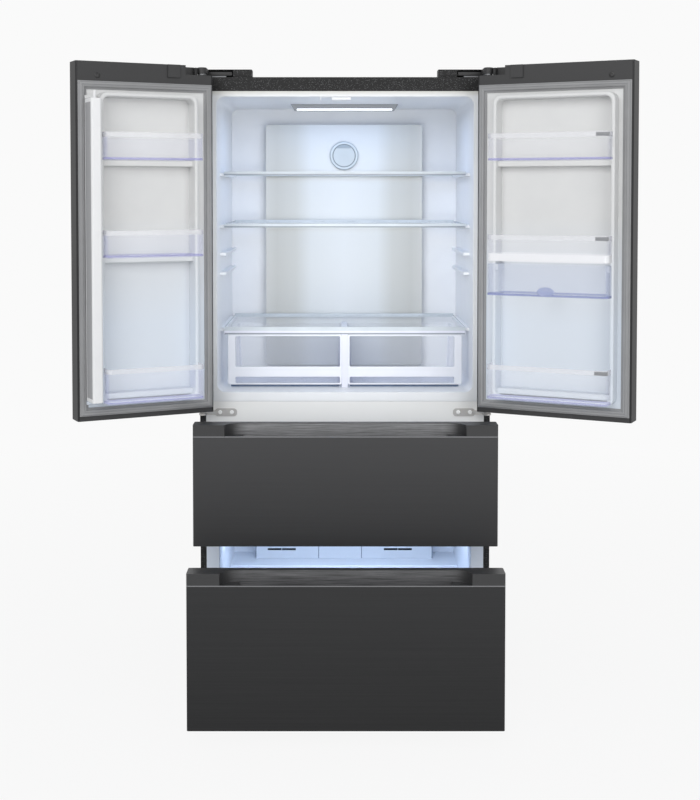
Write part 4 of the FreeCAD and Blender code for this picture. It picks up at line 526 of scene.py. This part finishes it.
# %% Plated metal
def metal(name, colour, shade, roughness, spangle_mm, stretch=(1, 1, 1), upper=None):
    """Plated metal and, where an upper level and colour are given, that colour above the level."""
    material, tree, shader, place = new_finish(name)
    stretched = add(tree, "ShaderNodeMapping", {"Vector": place, "Scale": stretch})
    spangle, tone = cloudy(stretched, 1 / (spangle_mm * MM), colour, shade, 3)
    if upper is not None:
        level, upper_colour = upper
        above = along(place, "Z", level - MM, level + MM)
        tone = add(tree, MIX, {"Factor": above, "A": tone, "B": upper_colour}, data_type="RGBA")
    dull = add(tree, RANGE, {"Value": spangle, "To Min": roughness, "To Max": roughness + 0.12})
    fill(shader, {"Base Color": tone, "Metallic": 1.0, "Roughness": dull})
    return material


hinge_low, hinge_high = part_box("hinge_brackets")
top_hinges = ((hinge_low.z + hinge_high.z) / 2, "#6E6F71")
zinc = metal("zinc_plated_steel", "#B4B5B7", "#A2A3A6", 0.35, 12)
bright_fin = metal("bright_aluminium", "#D8D9DB", "#CBCCCE", 0.3, 10, (1, 1, 0.2))
hinge_plating = metal("zinc_and_black_steel", "#CDCBC9", "#BCBAB8", 0.4, 12, upper=top_hinges)
print("metals made, top hinges above", round(top_hinges[0], 2), "m")

# %% [markdown]
# Painted and moulded small parts: the light grey cross rails, the black base and machine parts, nylon feet
# and clips. Paint has a slight orange peel of some 3 mm, seen only in its reflections, so it goes into the
# bump and the roughness. The foam in the walls is a matt cream with small bubbles. Dark bars in the seams and
# vents of the freezer's back panel are painted shade, and so are grey lips under the shelves' front trims.

# %% Paint, nylon and foam
def painted(name, colour, roughness, peel_mm=3.0, depth=0.06):
    material, tree, shader, place = new_finish(name)
    peel = add(tree, NOISE, {"Vector": place, "Scale": 1 / (peel_mm * MM)})
    skin = add(tree, "ShaderNodeBump", {"Height": peel, "Strength": depth, "Distance": 0.5 * MM})
    dull = add(tree, RANGE, {"Value": peel, "To Min": roughness, "To Max": roughness + 0.1})
    fill(shader, {"Base Color": colour, "Roughness": dull, "Normal": skin})
    return material


rail_paint = painted("light_grey_enamel", "#EEEEEC", 0.35)
black_paint = painted("black_enamel", "#151516", 0.35)
foam_cream = painted("rigid_foam", "#EADFB8", 0.9, 2.0, 0.5)
foot_black = painted("black_nylon", "#1A1A1A", 0.5, 1.5)
fan_grey = painted("grey_nylon", "#55575A", 0.45, 1.5)
clip_grey = painted("clip_grey_nylon", "#8B8C8F", 0.4, 1.5)
# Zinc screws painted near white: a painted highlight for their glints.
zinc_screw_painted_highlight = painted("bright_screw_zinc", "#FBFBFA", 0.25)
# The flap plate's grey is its coating and also the painted shade of the flap's side.
plate_grey_and_side_shade = painted("coated_plate_grey", "#9B9B9D", 0.45)
# Painted shade under the shelves' front trims.
lip_painted_shade = painted("painted_shade_trim_lip", "#8E959C", 0.4)
# Painted shade in the vents of the freezer's back panel.
vent_painted_shade = painted("painted_shade_in_vents", "#161B22", 0.9, 1.5, 0.4)
# Painted shade in the seams of the freezer's back panel.
seam_painted_shade = painted("painted_shade_in_seams", "#48566C", 0.8, 1.5)
print("paints made")

# %% [markdown]
# The ceiling lamp is a light grey housing with a frosted lens along its lower front edge. Only the lens
# glows. Its strength is kept near one, so it looks lit without washing out.

# %% Lamp lens
FROST_PER_M = 90.0
lens_glow, tree, shader, place = new_finish("frosted_lamp_lens")
tone = cloudy(place, FROST_PER_M, "#F2F7FF", "#FFFFFF")[1]
fill(shader, {"Base Color": tone, "Emission Color": tone, "Emission Strength": 1.1, "Roughness": 0.5})
print("made", lens_glow.name)

# %% [markdown]
# The drawer grips: dark satin ends, a curved hollow between them and a brushed back wall with pale streaks
# along it, drawn 3 mm apart. They are one moulding and so one material. Its own coordinates tell the wall
# from the rest: it is the part farthest back from the drawer's face, below the rim and away from the ends. A
# paler line in front is a painted highlight on the fold of the steel sheet. The lower grip's wall is painted
# darker than the upper's, a painted shade.

# %% Grip with a brushed wall
WALL_START = 30 * MM
WALL_END = 42 * MM
HOLLOW_HALF = 270 * MM
FADE_HALF = 330 * MM
TOP_RIM = 1.5 * MM
PANEL_EDGE = 22 * MM
FOLD = 3 * MM
STREAKS_PER_M = (9, 40, 330)
GRIP_GRAIN_PER_M = 700.0


def grip_finish(name, node, dark, pale):
    low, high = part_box(node)
    material, tree, shader, place = new_finish(name)
    parts = add(tree, "ShaderNodeSeparateXYZ", {"Vector": place}).outputs
    inside = along(place, "Y", low.y + WALL_START, low.y + WALL_END)
    across = add(tree, MATH, {0: parts["X"], 1: (low.x + high.x) / 2}, operation="SUBTRACT")
    across = add(tree, MATH, {0: across}, operation="ABSOLUTE")
    hollow = add(tree, RANGE, {"Value": across, "From Min": FADE_HALF, "From Max": HOLLOW_HALF})
    below = add(tree, MATH, {0: parts["Z"], 1: high.z - TOP_RIM}, operation="LESS_THAN")
    wall = add(tree, MATH, {0: inside, 1: hollow}, operation="MULTIPLY")
    wall = add(tree, MATH, {0: wall, 1: below}, operation="MULTIPLY")
    stretched = add(tree, "ShaderNodeMapping", {"Vector": place, "Scale": STREAKS_PER_M})
    streaks = add(tree, NOISE, {"Vector": stretched, "Scale": 1.0, "Detail": 4, "Roughness": 0.7})
    brushed = add(tree, RANGE, {"Value": streaks, "From Min": 0.35, "From Max": 0.7})
    wall_tone = add(tree, MIX, {"Factor": brushed, "A": dark, "B": pale}, data_type="RGBA")
    plain = cloudy(place, GRIP_GRAIN_PER_M, "#2B2B2C", "#343435")[1]
    # A painted highlight along the fold at the top of the steel sheet.
    fold_middle = low.z + PANEL_EDGE + FOLD / 2
    fold_highlight = add(tree, MATH, {0: parts["Z"], 1: fold_middle, 2: FOLD / 2}, operation="COMPARE")
    outer = add(tree, MATH, {0: parts["Y"], 1: low.y + FOLD}, operation="LESS_THAN")
    fold_highlight = add(tree, MATH, {0: fold_highlight, 1: outer}, operation="MULTIPLY")
    plain = add(tree, MIX, {"Factor": fold_highlight, "A": plain, "B": "#7C7C7E"}, data_type="RGBA")
    tone = add(tree, MIX, {"Factor": wall, "A": plain, "B": wall_tone}, data_type="RGBA")
    edge = add(tree, "ShaderNodeBevel", {"Radius": 2 * MM}, samples=4)
    fill(shader, {"Base Color": tone, "Roughness": 0.4, "Normal": edge})
    return material


upper_grip = grip_finish("upper_grip_abs", "upper_drawer_grip", "#646465", "#A6A6A8")
# The lower grip's darker wall tones are painted shade.
lower_grip = grip_finish("lower_grip_abs_painted_shade", "lower_drawer_grip", "#434344", "#7A7A7C")
print("made", upper_grip.name, "and", lower_grip.name)

# %% [markdown]
# Each CAD node that stays visible now takes its finish. A table from finish to nodes keeps the whole dressing
# in one place and shows at a glance if a node was forgotten. Clear pieces cast no shadow and stop no soft
# light, because a few walls in a row would use up the renderer's limit of clear layers and leave grey boxes
# behind the bins.

# %% Dress the CAD nodes
DRESSING = {
    upper_steel: "upper_drawer_front",
    lower_steel: "lower_drawer_front",
    door_steel: "left_door_skin right_door_skin",
    speckled: "cabinet_shell hinge_covers",
    liner_white: "fridge_liner mullion_guide",
    frame_white: "crisper_frame",
    door_white: "left_door_liner right_door_liner upper_drawer_liner lower_drawer_liner",
    flap_white: "mullion_flap",
    freezer_white: "freezer_liner",
    vent_white_painted_shade: "freezer_air_duct",
    lamp_grey: "ceiling_lamp",
    bright_white: "crisper_front_left crisper_front_right",
    trim_white: "shelf_trims",
    basket_white: "upper_drawer_basket lower_drawer_basket",
    cap_rings: "filter_cap",
    cap_dark: "left_door_caps right_door_caps",
    bin_based: "right_middle_bin",
    snack_clear: "snack_drawer",
    tub_clear: "crisper_tub_left crisper_tub_right",
    rail_smoke: "left_bin_rails right_bin_rails",
    pane: "shelf_glass",
    duct_satin_painted_reflection: "fridge_air_duct",
    hinge_plating: "hinge_brackets",
    zinc: "freezer_rails upper_slide_members lower_slide_members upper_drawer_runners lower_drawer_runners "
          "rear_panel machine_cover",
    bright_fin: "evaporator",
    rail_paint: "front_rails",
    black_paint: "base_tray compressor condenser_coil",
    foam_cream: "insulation_foam",
    foot_black: "leveling_feet",
    fan_grey: "evaporator_fan",
    seal_grey: "left_door_gasket right_door_gasket upper_drawer_gasket lower_drawer_gasket",
    upper_grip: "upper_drawer_grip",
    lower_grip: "lower_drawer_grip",
}
DRESSING.update({finish: name for name, finish in clear_bins.items()})
CLEAR = [*clear_bins.values(), bin_based, snack_clear, tub_clear, rail_smoke, pane]
for finish, names in DRESSING.items():
    for name in names.split():
        node = frame["nodes"][name]
        node.data.materials.clear()
        node.data.materials.append(finish)
        if finish in CLEAR:
            node.visible_shadow = False
            node.visible_diffuse = False
dressed = sum(len(names.split()) for names in DRESSING.values())
print(dressed, "of", len(frame["nodes"]), "nodes dressed")

# %% [markdown]
# The rest of the lesson adds small pieces. Each is made in the closed fridge's frame, in metres, where "the
# middle of the left door" is easy to say. Then its mesh is carried to the open place, so that the object
# itself stays at the origin, and it is told which body to ride on and given its finish.

# %% Finished pieces
SMOOTH_BELOW = math.radians(40)
SEAM_GAP = 0.02 * MM


def plain_mesh(shape):
    """Turn a working shape into a mesh."""
    mesh = bpy.data.meshes.new("plain")
    shape.to_mesh(mesh)
    shape.free()
    return mesh


def closed_box(node):
    """Low and high corner of a node of the cabinet, in the closed frame and in millimetres."""
    return [CABINET.inverted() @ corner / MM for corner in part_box(node)]


def finish_piece(mesh, name, body, finish, replaced=()):
    """Close a mesh's seams, carry it to its body's place and let it ride there."""
    shape = bmesh.new()
    shape.from_mesh(mesh)
    bmesh.ops.remove_doubles(shape, verts=shape.verts, dist=SEAM_GAP)
    bmesh.ops.recalc_face_normals(shape, faces=shape.faces)
    shape.to_mesh(mesh)
    shape.free()
    mesh.transform(PLACES[body])
    mesh.shade_smooth()
    mesh.set_sharp_from_angle(angle=SMOOTH_BELOW)
    mesh.materials.clear()
    mesh.materials.append(finish)
    mesh.name = name
    piece = bpy.data.objects.new(name, mesh)
    scene.collection.objects.link(piece)
    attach(piece, body)
    if replaced:
        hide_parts(*replaced)


print("helpers ready")

# %% [markdown]
# Seals and screws come from geometry trees. A tree has named inputs for its sizes and is run once, on a plain
# mesh that gives it a section or a row of places. The result is kept as a mesh of its own, so no modifier is
# left on the piece.

# %% Geometry trees and how they are run
def new_tree(name, sockets):
    """An empty geometry tree with named inputs and one geometry output, and its inputs' sockets."""
    tree = bpy.data.node_groups.new(name, "GeometryNodeTree")
    for socket, kind in sockets.items():
        tree.interface.new_socket(socket, in_out="INPUT", socket_type=f"NodeSocket{kind}")
    tree.interface.new_socket("Result", in_out="OUTPUT", socket_type="NodeSocketGeometry")
    return tree, add(tree, "NodeGroupInput").outputs


def close_tree(tree, shape, finish):
    """End a tree: make its instances real, give them their finish and put them out."""
    real = add(tree, "GeometryNodeRealizeInstances", {"Geometry": shape})
    coated = add(tree, "GeometryNodeSetMaterial", {"Geometry": real, "Material": finish})
    add(tree, "NodeGroupOutput", {"Result": coated})


def run_nodes(name, tree, settings, vertices, edges=()):
    """Run a geometry tree once on a plain mesh and return the result as a mesh of its own."""
    start = bpy.data.meshes.new(f"{name}_start")
    start.from_pydata(vertices, edges, [])
    carrier = bpy.data.objects.new(f"{name}_carrier", start)
    scene.collection.objects.link(carrier)
    modifier = carrier.modifiers.new("shape", "NODES")
    modifier.node_group = tree
    for socket in tree.interface.items_tree:
        if socket.in_out == "INPUT" and socket.name in settings:
            modifier[socket.identifier] = settings[socket.name]
    graph = bpy.context.evaluated_depsgraph_get()
    mesh = bpy.data.meshes.new_from_object(carrier.evaluated_get(graph))
    carrier.modifiers.remove(modifier)
    bpy.data.objects.remove(carrier)
    return mesh


print("trees ready")

# %% [markdown]
# A magnetic door seal is one PVC extrusion that runs round the door and is welded at mitred corners: a flat
# foot and a soft bulb with the magnet in it. A plain bar frame shows none of that, and a modelled loop by
# hand would repeat the section four times. So the section is drawn once, in millimetres, and a geometry tree
# sweeps it along a rectangle. At a corner the section stands on the diagonal, so its width is stretched by
# the root of two.

# %% Seal section and its sweep
SEAL_WIDTH = 23
SEAL_SECTION = [(0, 0), (0, 3.0), (2.4, 4.0), (3.6, 8.4), (5.4, 10.1), (9.6, 10.6), (10.6, 9.5), (11.6, 10.6),
                (15.4, 10.1), (17.0, 8.4), (17.8, 4.4), (20.0, 3.4), (SEAL_WIDTH, 2.6), (SEAL_WIDTH, 0)]
TO_BACK = Matrix.Rotation(-math.pi / 2, 4, "X")
seals, given = new_tree("swept_seal", {"Section": "Geometry", "Width": "Float", "Height": "Float",
                                       "Finish": "Material"})
path = add(seals, "GeometryNodeCurvePrimitiveQuadrilateral",
           {"Width": given["Width"], "Height": given["Height"]})
section = add(seals, "GeometryNodeMeshToCurve", {"Mesh": given["Section"]})
stretched = add(seals, "GeometryNodeTransform", {"Geometry": section, "Scale": (-math.sqrt(2), -1, 1)})
swept = add(seals, "GeometryNodeCurveToMesh", {"Curve": path, "Profile Curve": stretched})
close_tree(seals, swept, given["Finish"])


def make_seal(name, body):
    """Sweep the section round the box of the CAD seal, measured in the closed frame."""
    back = PLACES[body].inverted()
    spots = [back @ corner.co for corner in frame["nodes"][name].data.vertices]
    low = Vector(min(spot[axis] for spot in spots) for axis in range(3))
    high = Vector(max(spot[axis] for spot in spots) for axis in range(3))
    vertices = [(inset * MM, height * MM, 0) for inset, height in SEAL_SECTION]
    edges = [(number, (number + 1) % len(vertices)) for number in range(len(vertices))]
    settings = {"Width": high.x - low.x, "Height": high.z - low.z, "Finish": seal_grey}
    mesh = run_nodes(name, seals, settings, vertices, edges)
    tallest = max(corner.co.z for corner in mesh.vertices)
    middle = Vector(((low.x + high.x) / 2, low.y, (low.z + high.z) / 2))
    mesh.transform(Matrix.Translation(middle) @ TO_BACK)
    finish_piece(mesh, f"{name}_swept", body, seal_grey, [name])
    return round(tallest / MM, 1)


for body in ("left_door", "right_door", "upper_drawer", "lower_drawer"):
    print(body, "seal height in mm:", make_seal(f"{body}_gasket", body))

# %% [markdown]
# Pan-head screws hold the lower hinges and the sheets at the back. They are all alike, so one tree makes a
# head with a cross recess and sets it on every point of a row. Their zinc is painted near white, a painted
# highlight. Each screw is turned a little differently, as screws are when they stop tight, and a fixed seed
# keeps those turns the same on each run.

# %% Screw tree
CROWN_SHARE = 0.62
RECESS_LENGTH_SHARE = 1.05
screws, given = new_tree("cross_head_screws", {
    "Places": "Geometry", "Head Radius": "Float", "Head Height": "Float", "Recess": "Float",
    "Facing": "Vector", "Seed": "Int", "Finish": "Material"})
radius = given["Head Radius"]
height = given["Head Height"]
crown = add(screws, MATH, {0: radius, 1: CROWN_SHARE}, operation="MULTIPLY")
head = add(screws, "GeometryNodeMeshCone", {
    "Vertices": 20, "Radius Top": crown, "Radius Bottom": radius, "Depth": height}, fill_type="NGON")
length = add(screws, MATH, {0: radius, 1: RECESS_LENGTH_SHARE}, operation="MULTIPLY")
bar_size = add(screws, "ShaderNodeCombineXYZ", {"X": length, "Y": given["Recess"], "Z": height})
lift = add(screws, "ShaderNodeCombineXYZ", {"Z": height})
bar = add(screws, "GeometryNodeMeshCube", {"Size": bar_size})
first = add(screws, "GeometryNodeTransform", {"Geometry": bar, "Translation": lift})
second = add(screws, "GeometryNodeTransform", {"Geometry": bar, "Translation": lift,
                                               "Rotation": (0, 0, math.pi / 2)})
cross = add(screws, "GeometryNodeMeshBoolean", {"Mesh 2": first}, operation="UNION", solver="EXACT")
fill(cross, {"Mesh 2": second})
cut = add(screws, "GeometryNodeMeshBoolean", {"Mesh 1": head, "Mesh 2": cross}, operation="DIFFERENCE",
          solver="EXACT")
aligned = add(screws, "FunctionNodeAlignRotationToVector", {"Vector": given["Facing"]}, axis="Z")
chance = add(screws, "FunctionNodeRandomValue", {"Seed": given["Seed"]}, data_type="FLOAT")
angle = add(screws, MATH, {0: chance, 1: math.pi / 2}, operation="MULTIPLY")
spin = add(screws, "FunctionNodeAxisAngleToRotation", {"Axis": (0, 0, 1), "Angle": angle})
turned = add(screws, "FunctionNodeRotateRotation", {"Rotation": aligned, "Rotate By": spin},
             rotation_space="LOCAL")
points = add(screws, "GeometryNodeMeshToPoints", {"Mesh": given["Places"]})
placed = add(screws, "GeometryNodeInstanceOnPoints", {"Points": points, "Instance": cut, "Rotation": turned})
close_tree(screws, placed, given["Finish"])
print("screw tree:", len(screws.nodes), "nodes")

# %% [markdown]
# The hinges' screws face forward and stand two to a plate. Those of the back run down both edges of the rear
# sheet, along its top, and round the cover of the machine compartment.

# %% Rows of screws
HEAD_HEIGHT = 2.2
RECESS_SHARE = 0.25
HINGE_PLANE = -2
HINGE_LEVEL = 830
HINGE_ACROSS = (362, 328)
REAR_PLANE = 646
REAR_EDGE = 410
REAR_LEVELS = range(262, 1783, 190)
REAR_TOP = 1787
TOP_ACROSS = (-320, -160, 0, 160, 320)
COVER_ACROSS = (-408, -245, -82, 82, 245, 408)
COVER_LEVELS = (53, 237)


def make_screws(name, spots_mm, facing, radius_mm, seed):
    settings = {"Head Radius": radius_mm * MM, "Head Height": HEAD_HEIGHT * MM,
                "Recess": radius_mm * RECESS_SHARE * MM, "Facing": facing, "Seed": seed, "Finish": zinc_screw_painted_highlight}
    mesh = run_nodes(name, screws, settings, [tuple(value * MM for value in spot) for spot in spots_mm])
    finish_piece(mesh, name, "cabinet", zinc_screw_painted_highlight)
    return len(mesh.polygons)


hinge_spots = [(side * across, HINGE_PLANE, HINGE_LEVEL) for side in (-1, 1) for across in HINGE_ACROSS]
print("hinge screw faces:", make_screws("hinge_screws", hinge_spots, (0, -1, 0), 6.0, 3))
rear_spots = [(side * REAR_EDGE, REAR_PLANE, level) for side in (-1, 1) for level in REAR_LEVELS]
rear_spots += [(across, REAR_PLANE, REAR_TOP) for across in TOP_ACROSS]
rear_spots += [(across, REAR_PLANE, level) for across in COVER_ACROSS for level in COVER_LEVELS]
print("rear screw faces:", make_screws("rear_screws", rear_spots, (0, 1, 0), 4.0, 5))

# %% [markdown]
# A few bits are bars with soft edges: the lamp's lens, the grey clips at the ends of the right door's bin
# rails, and the coated steel plate on the flap, which the seals' magnets hold to; its grey also paints the
# shade of the flap's side. So are dark bars of painted shade in the seams and vents of the freezer's back
# panel, grey lips of painted shade under the shelves' front trims, the roots of the top hinges' arms under
# their covers, and the plates that close the covers beside them. A box with bevelled edges gives each its
# shape. Bevelling the real mesh, and not only the shading, makes the edges round in the geometry as well.

# %% Bars with soft edges
def soft_bars(bars_mm, edge_mm):
    """One mesh with a bevelled bar for each set of spans in x, y and z."""
    shape = bmesh.new()
    for spans in bars_mm:
        middle = [(low + high) / 2 * MM for low, high in spans]
        size = [(high - low) * MM for low, high in spans]
        place = Matrix.Translation(middle) @ Matrix.Diagonal((*size, 1))
        bmesh.ops.create_cube(shape, size=1, matrix=place)
    bmesh.ops.bevel(shape, geom=shape.edges[:], offset=edge_mm * MM, segments=3, profile=0.5, affect="EDGES")
    return plain_mesh(shape)


LENS = ((-148, 148), (311.4, 318), (1721.2, 1727.2))
FLAP_PLATE = ((-46, 2), (-0.7, 1), (915, 1705))
CLIP_ACROSS = (20, 56)
CLIP_DEPTH = (74.2, 79.4)
CLIP_LEVELS = ((1614, 1624), (1338, 1348), (982, 992))
SEAMS = ((-289, -287), (-83.8, -82.2), (56.2, 57.8), (287, 289))
VENT_WIDTH = 45
VENT_STARTS = (-250, -203, 130, 177)
VENT_LEVELS = ((297, 304), (311, 318))
LIP_LEVELS = ((1517, 1521.5), (1363, 1367.5), (1046.6, 1050.5))
ROOTS_ACROSS = ((-402, -324), (324, 402))
ROOT_SPANS = ((9, 30), (1801.2, 1814))
FRONTS_ACROSS = ((-322, -270), (270, 322))
FRONT_SPANS = ((2.4, 4.4), (1797, 1817))
PROUD = 0.4
duct_low, duct_high = closed_box("freezer_air_duct")
trim_low, trim_high = closed_box("shelf_trims")
seam_depth = (duct_low.y - PROUD, duct_low.y + 1)
vent_depth = (duct_low.y + 2.5, duct_low.y + 5)
lip_across = (trim_low.x + 1, trim_high.x - 1)
lip_depth = (trim_low.y - PROUD, trim_low.y + 1)
clips = [(CLIP_ACROSS, CLIP_DEPTH, level) for level in CLIP_LEVELS]
seams = [(across, seam_depth, (duct_low.z + 1, duct_high.z - 1)) for across in SEAMS]
pads = [((start, start + VENT_WIDTH), vent_depth, level) for start in VENT_STARTS for level in VENT_LEVELS]
lips = [(lip_across, lip_depth, level) for level in LIP_LEVELS]
roots = [(across, *ROOT_SPANS) for across in ROOTS_ACROSS]
fronts = [(across, *FRONT_SPANS) for across in FRONTS_ACROSS]
# Seams, vent pads and trim lips are painted shade; the flap plate's grey is partly painted shade.
BARS = [
    ("lamp_lens_bar", "cabinet", "lamp_lens", lens_glow, 1.2, [LENS]),
    ("right_rail_clips", "right_door", "bin_rail", clip_grey, 1.5, clips),
    ("flap_magnet_plate", "mullion_flap", "flap_white", plate_grey_and_side_shade, 0.5, [FLAP_PLATE]),
    ("freezer_panel_seams", "cabinet", "freezer_duct", seam_painted_shade, 0.2, seams),
    ("freezer_vent_foam", "cabinet", "freezer_duct", vent_painted_shade, 0.3, pads),
    ("shelf_trim_lips", "cabinet", "shelf_trim", lip_painted_shade, 0.3, lips),
    ("hinge_arm_roots", "cabinet", "hinge_cover", cover_dark, 2, roots),
    ("hinge_cover_fronts", "cabinet", "hinge_cover", speckled, 0.5, fronts),
]
for name, body, slot, finish, edge_mm, bars in BARS:
    finish_piece(soft_bars(bars, edge_mm), name, body, finish)
    print(name, "has", len(bars), "bars")

# %% [markdown]
# Turned bits: the round plugs that close the filling holes in the doors' top caps, and the finger tab under
# the snack drawer's front. Both are a profile spun about an axis, as on a lathe, and the tab is then drawn
# out wide.

# %% Turned plugs and finger tab
def spun(profile_mm, steps):
    """Spin a profile of radius and height about z."""
    shape = bmesh.new()
    rim = [shape.verts.new((radius * MM, 0, height * MM)) for radius, height in profile_mm]
    edges = [shape.edges.new(pair) for pair in zip(rim, rim[1:])]
    bmesh.ops.spin(shape, geom=rim + edges, cent=(0, 0, 0), axis=(0, 0, 1), angle=2 * math.pi, steps=steps)
    bmesh.ops.remove_doubles(shape, verts=shape.verts, dist=SEAM_GAP)
    return plain_mesh(shape)


PLUG = [(0, -1), (8, -1), (8, 0.5), (7.2, 1.1), (4.2, 1.3), (3.6, 0.7), (0, 0.7)]
PLUG_PLACES = {"left_door": (-88, -12, 1781), "right_door": (39, -12, 1781)}
TAB = [(0, -1.5), (11, -1.5), (13, 0), (13, 1.2), (12, 2.0), (10.5, 1.6), (8, 0.6), (0, 0.4)]
TAB_PLACE = (190.5, 79, 1198)
TAB_STRETCH = 1.85
for body, spot in PLUG_PLACES.items():
    plug = spun(PLUG, 32)
    plug.transform(Matrix.Translation(Vector(spot) * MM) @ TO_BACK)
    finish_piece(plug, f"{body}_cap_plug", body, black_paint)
tab = spun(TAB, 40)
tab.transform(Matrix.Translation(Vector(TAB_PLACE) * MM) @ TO_BACK @ Matrix.Diagonal((TAB_STRETCH, 1, 1, 1)))
finish_piece(tab, "snack_drawer_tab", "snack_drawer", tab_clear)
print("plugs and tab made")

# %% [markdown]
# Some bits are flat outlines, pulled up to a height and bevelled round their upper rim, as a thin moulding
# is. One function does that for any outline, and another gives the points of an arc.

# %% Raised plates
def raised(outlines, low, high, edge_mm):
    """One mesh of flat outlines, pulled up from one level to another and bevelled round their upper rims."""
    shape = bmesh.new()
    for outline in outlines:
        face = shape.faces.new([shape.verts.new((x, y, low)) for x, y in outline])
        drawn = bmesh.ops.extrude_face_region(shape, geom=[face])
        top = [item for item in drawn["geom"] if isinstance(item, bmesh.types.BMVert)]
        bmesh.ops.translate(shape, verts=top, vec=(0, 0, high - low))
        rim = [edge for edge in shape.edges if all(vertex in top for vertex in edge.verts)]
        bmesh.ops.bevel(shape, geom=rim, offset=edge_mm * MM, segments=3, profile=0.5, affect="EDGES")
    return plain_mesh(shape)


def arc(x, y, radius, start, sweep, steps):
    """Points on an arc, its angles in degrees."""
    turns = [math.radians(start + sweep * step / steps) for step in range(steps + 1)]
    return [(x + radius * math.cos(turn), y + radius * math.sin(turn)) for turn in turns]


print("plates ready")

# %% [markdown]
# The arm of each top hinge runs from under its cover to the door's pin. A moulded shroud hides it: a strip
# with a round end over the pin. A short curved post on the door closes the notch beside it, out of the arm's
# way.

# %% Hinge shrouds and posts
ARM_HALF = 13.5 * MM
ARM_END = 4 * MM
SHROUD_LEVELS = (shell_high.z + 4.4 * MM, shell_high.z + 21.8 * MM)
POST_INNER = 15 * MM
POST_OUTER = 24 * MM
POST_START = -35
POST_SWEEP = 49
POST_LEVELS = (shell_high.z - 4.2 * MM, shell_high.z + 20.5 * MM)
SIDES = {"left": 1, "right": -1}
pins = {side: CABINET.inverted() @ Vector(joints[f"{side}_door_hinge"]["pos_m"]) for side in SIDES}
arms = [arc(pin.x, pin.y, ARM_HALF, 180, 180, 12) + [(pin.x + ARM_HALF, ARM_END), (pin.x - ARM_HALF, ARM_END)]
        for pin in pins.values()]
finish_piece(raised(arms, *SHROUD_LEVELS, 2.5), "hinge_arm_shrouds", "cabinet", cover_dark)
ring = arc(0, 0, POST_OUTER, POST_START, POST_SWEEP, 8)
ring += arc(0, 0, POST_INNER, POST_START + POST_SWEEP, -POST_SWEEP, 8)
for side, mirror in SIDES.items():
    outline = [(pins[side].x + mirror * x, pins[side].y + y) for x, y in ring]
    post = raised([outline], *POST_LEVELS, 0.8)
    finish_piece(post, f"{side}_hinge_post", f"{side}_door", cap_dark)
print("shrouds and posts made")

# %% [markdown]
# The filter's round cap is turned by a finger grip, a segment of a disc that stands up from the cap's dish.

# %% Finger grip of the round cap
DISH_DEPTH = 3.0
GRIP_RADIUS = 36 * MM
GRIP_HEIGHT = 1.8 * MM
GRIP_START = 42
GRIP_SWEEP = 96
cap_low, cap_high = closed_box("filter_cap")
dish = Vector(((cap_low.x + cap_high.x) / 2, cap_low.y + DISH_DEPTH, (cap_low.z + cap_high.z) / 2)) * MM
grip = raised([arc(0, 0, GRIP_RADIUS, GRIP_START, GRIP_SWEEP, 20)], 0, GRIP_HEIGHT, 0.8)
grip.transform(Matrix.Translation(dish) @ Matrix.Rotation(math.pi / 2, 4, "X"))
finish_piece(grip, "cap_finger_grip", "filter_cap", cap_grip)
print("finger grip made")
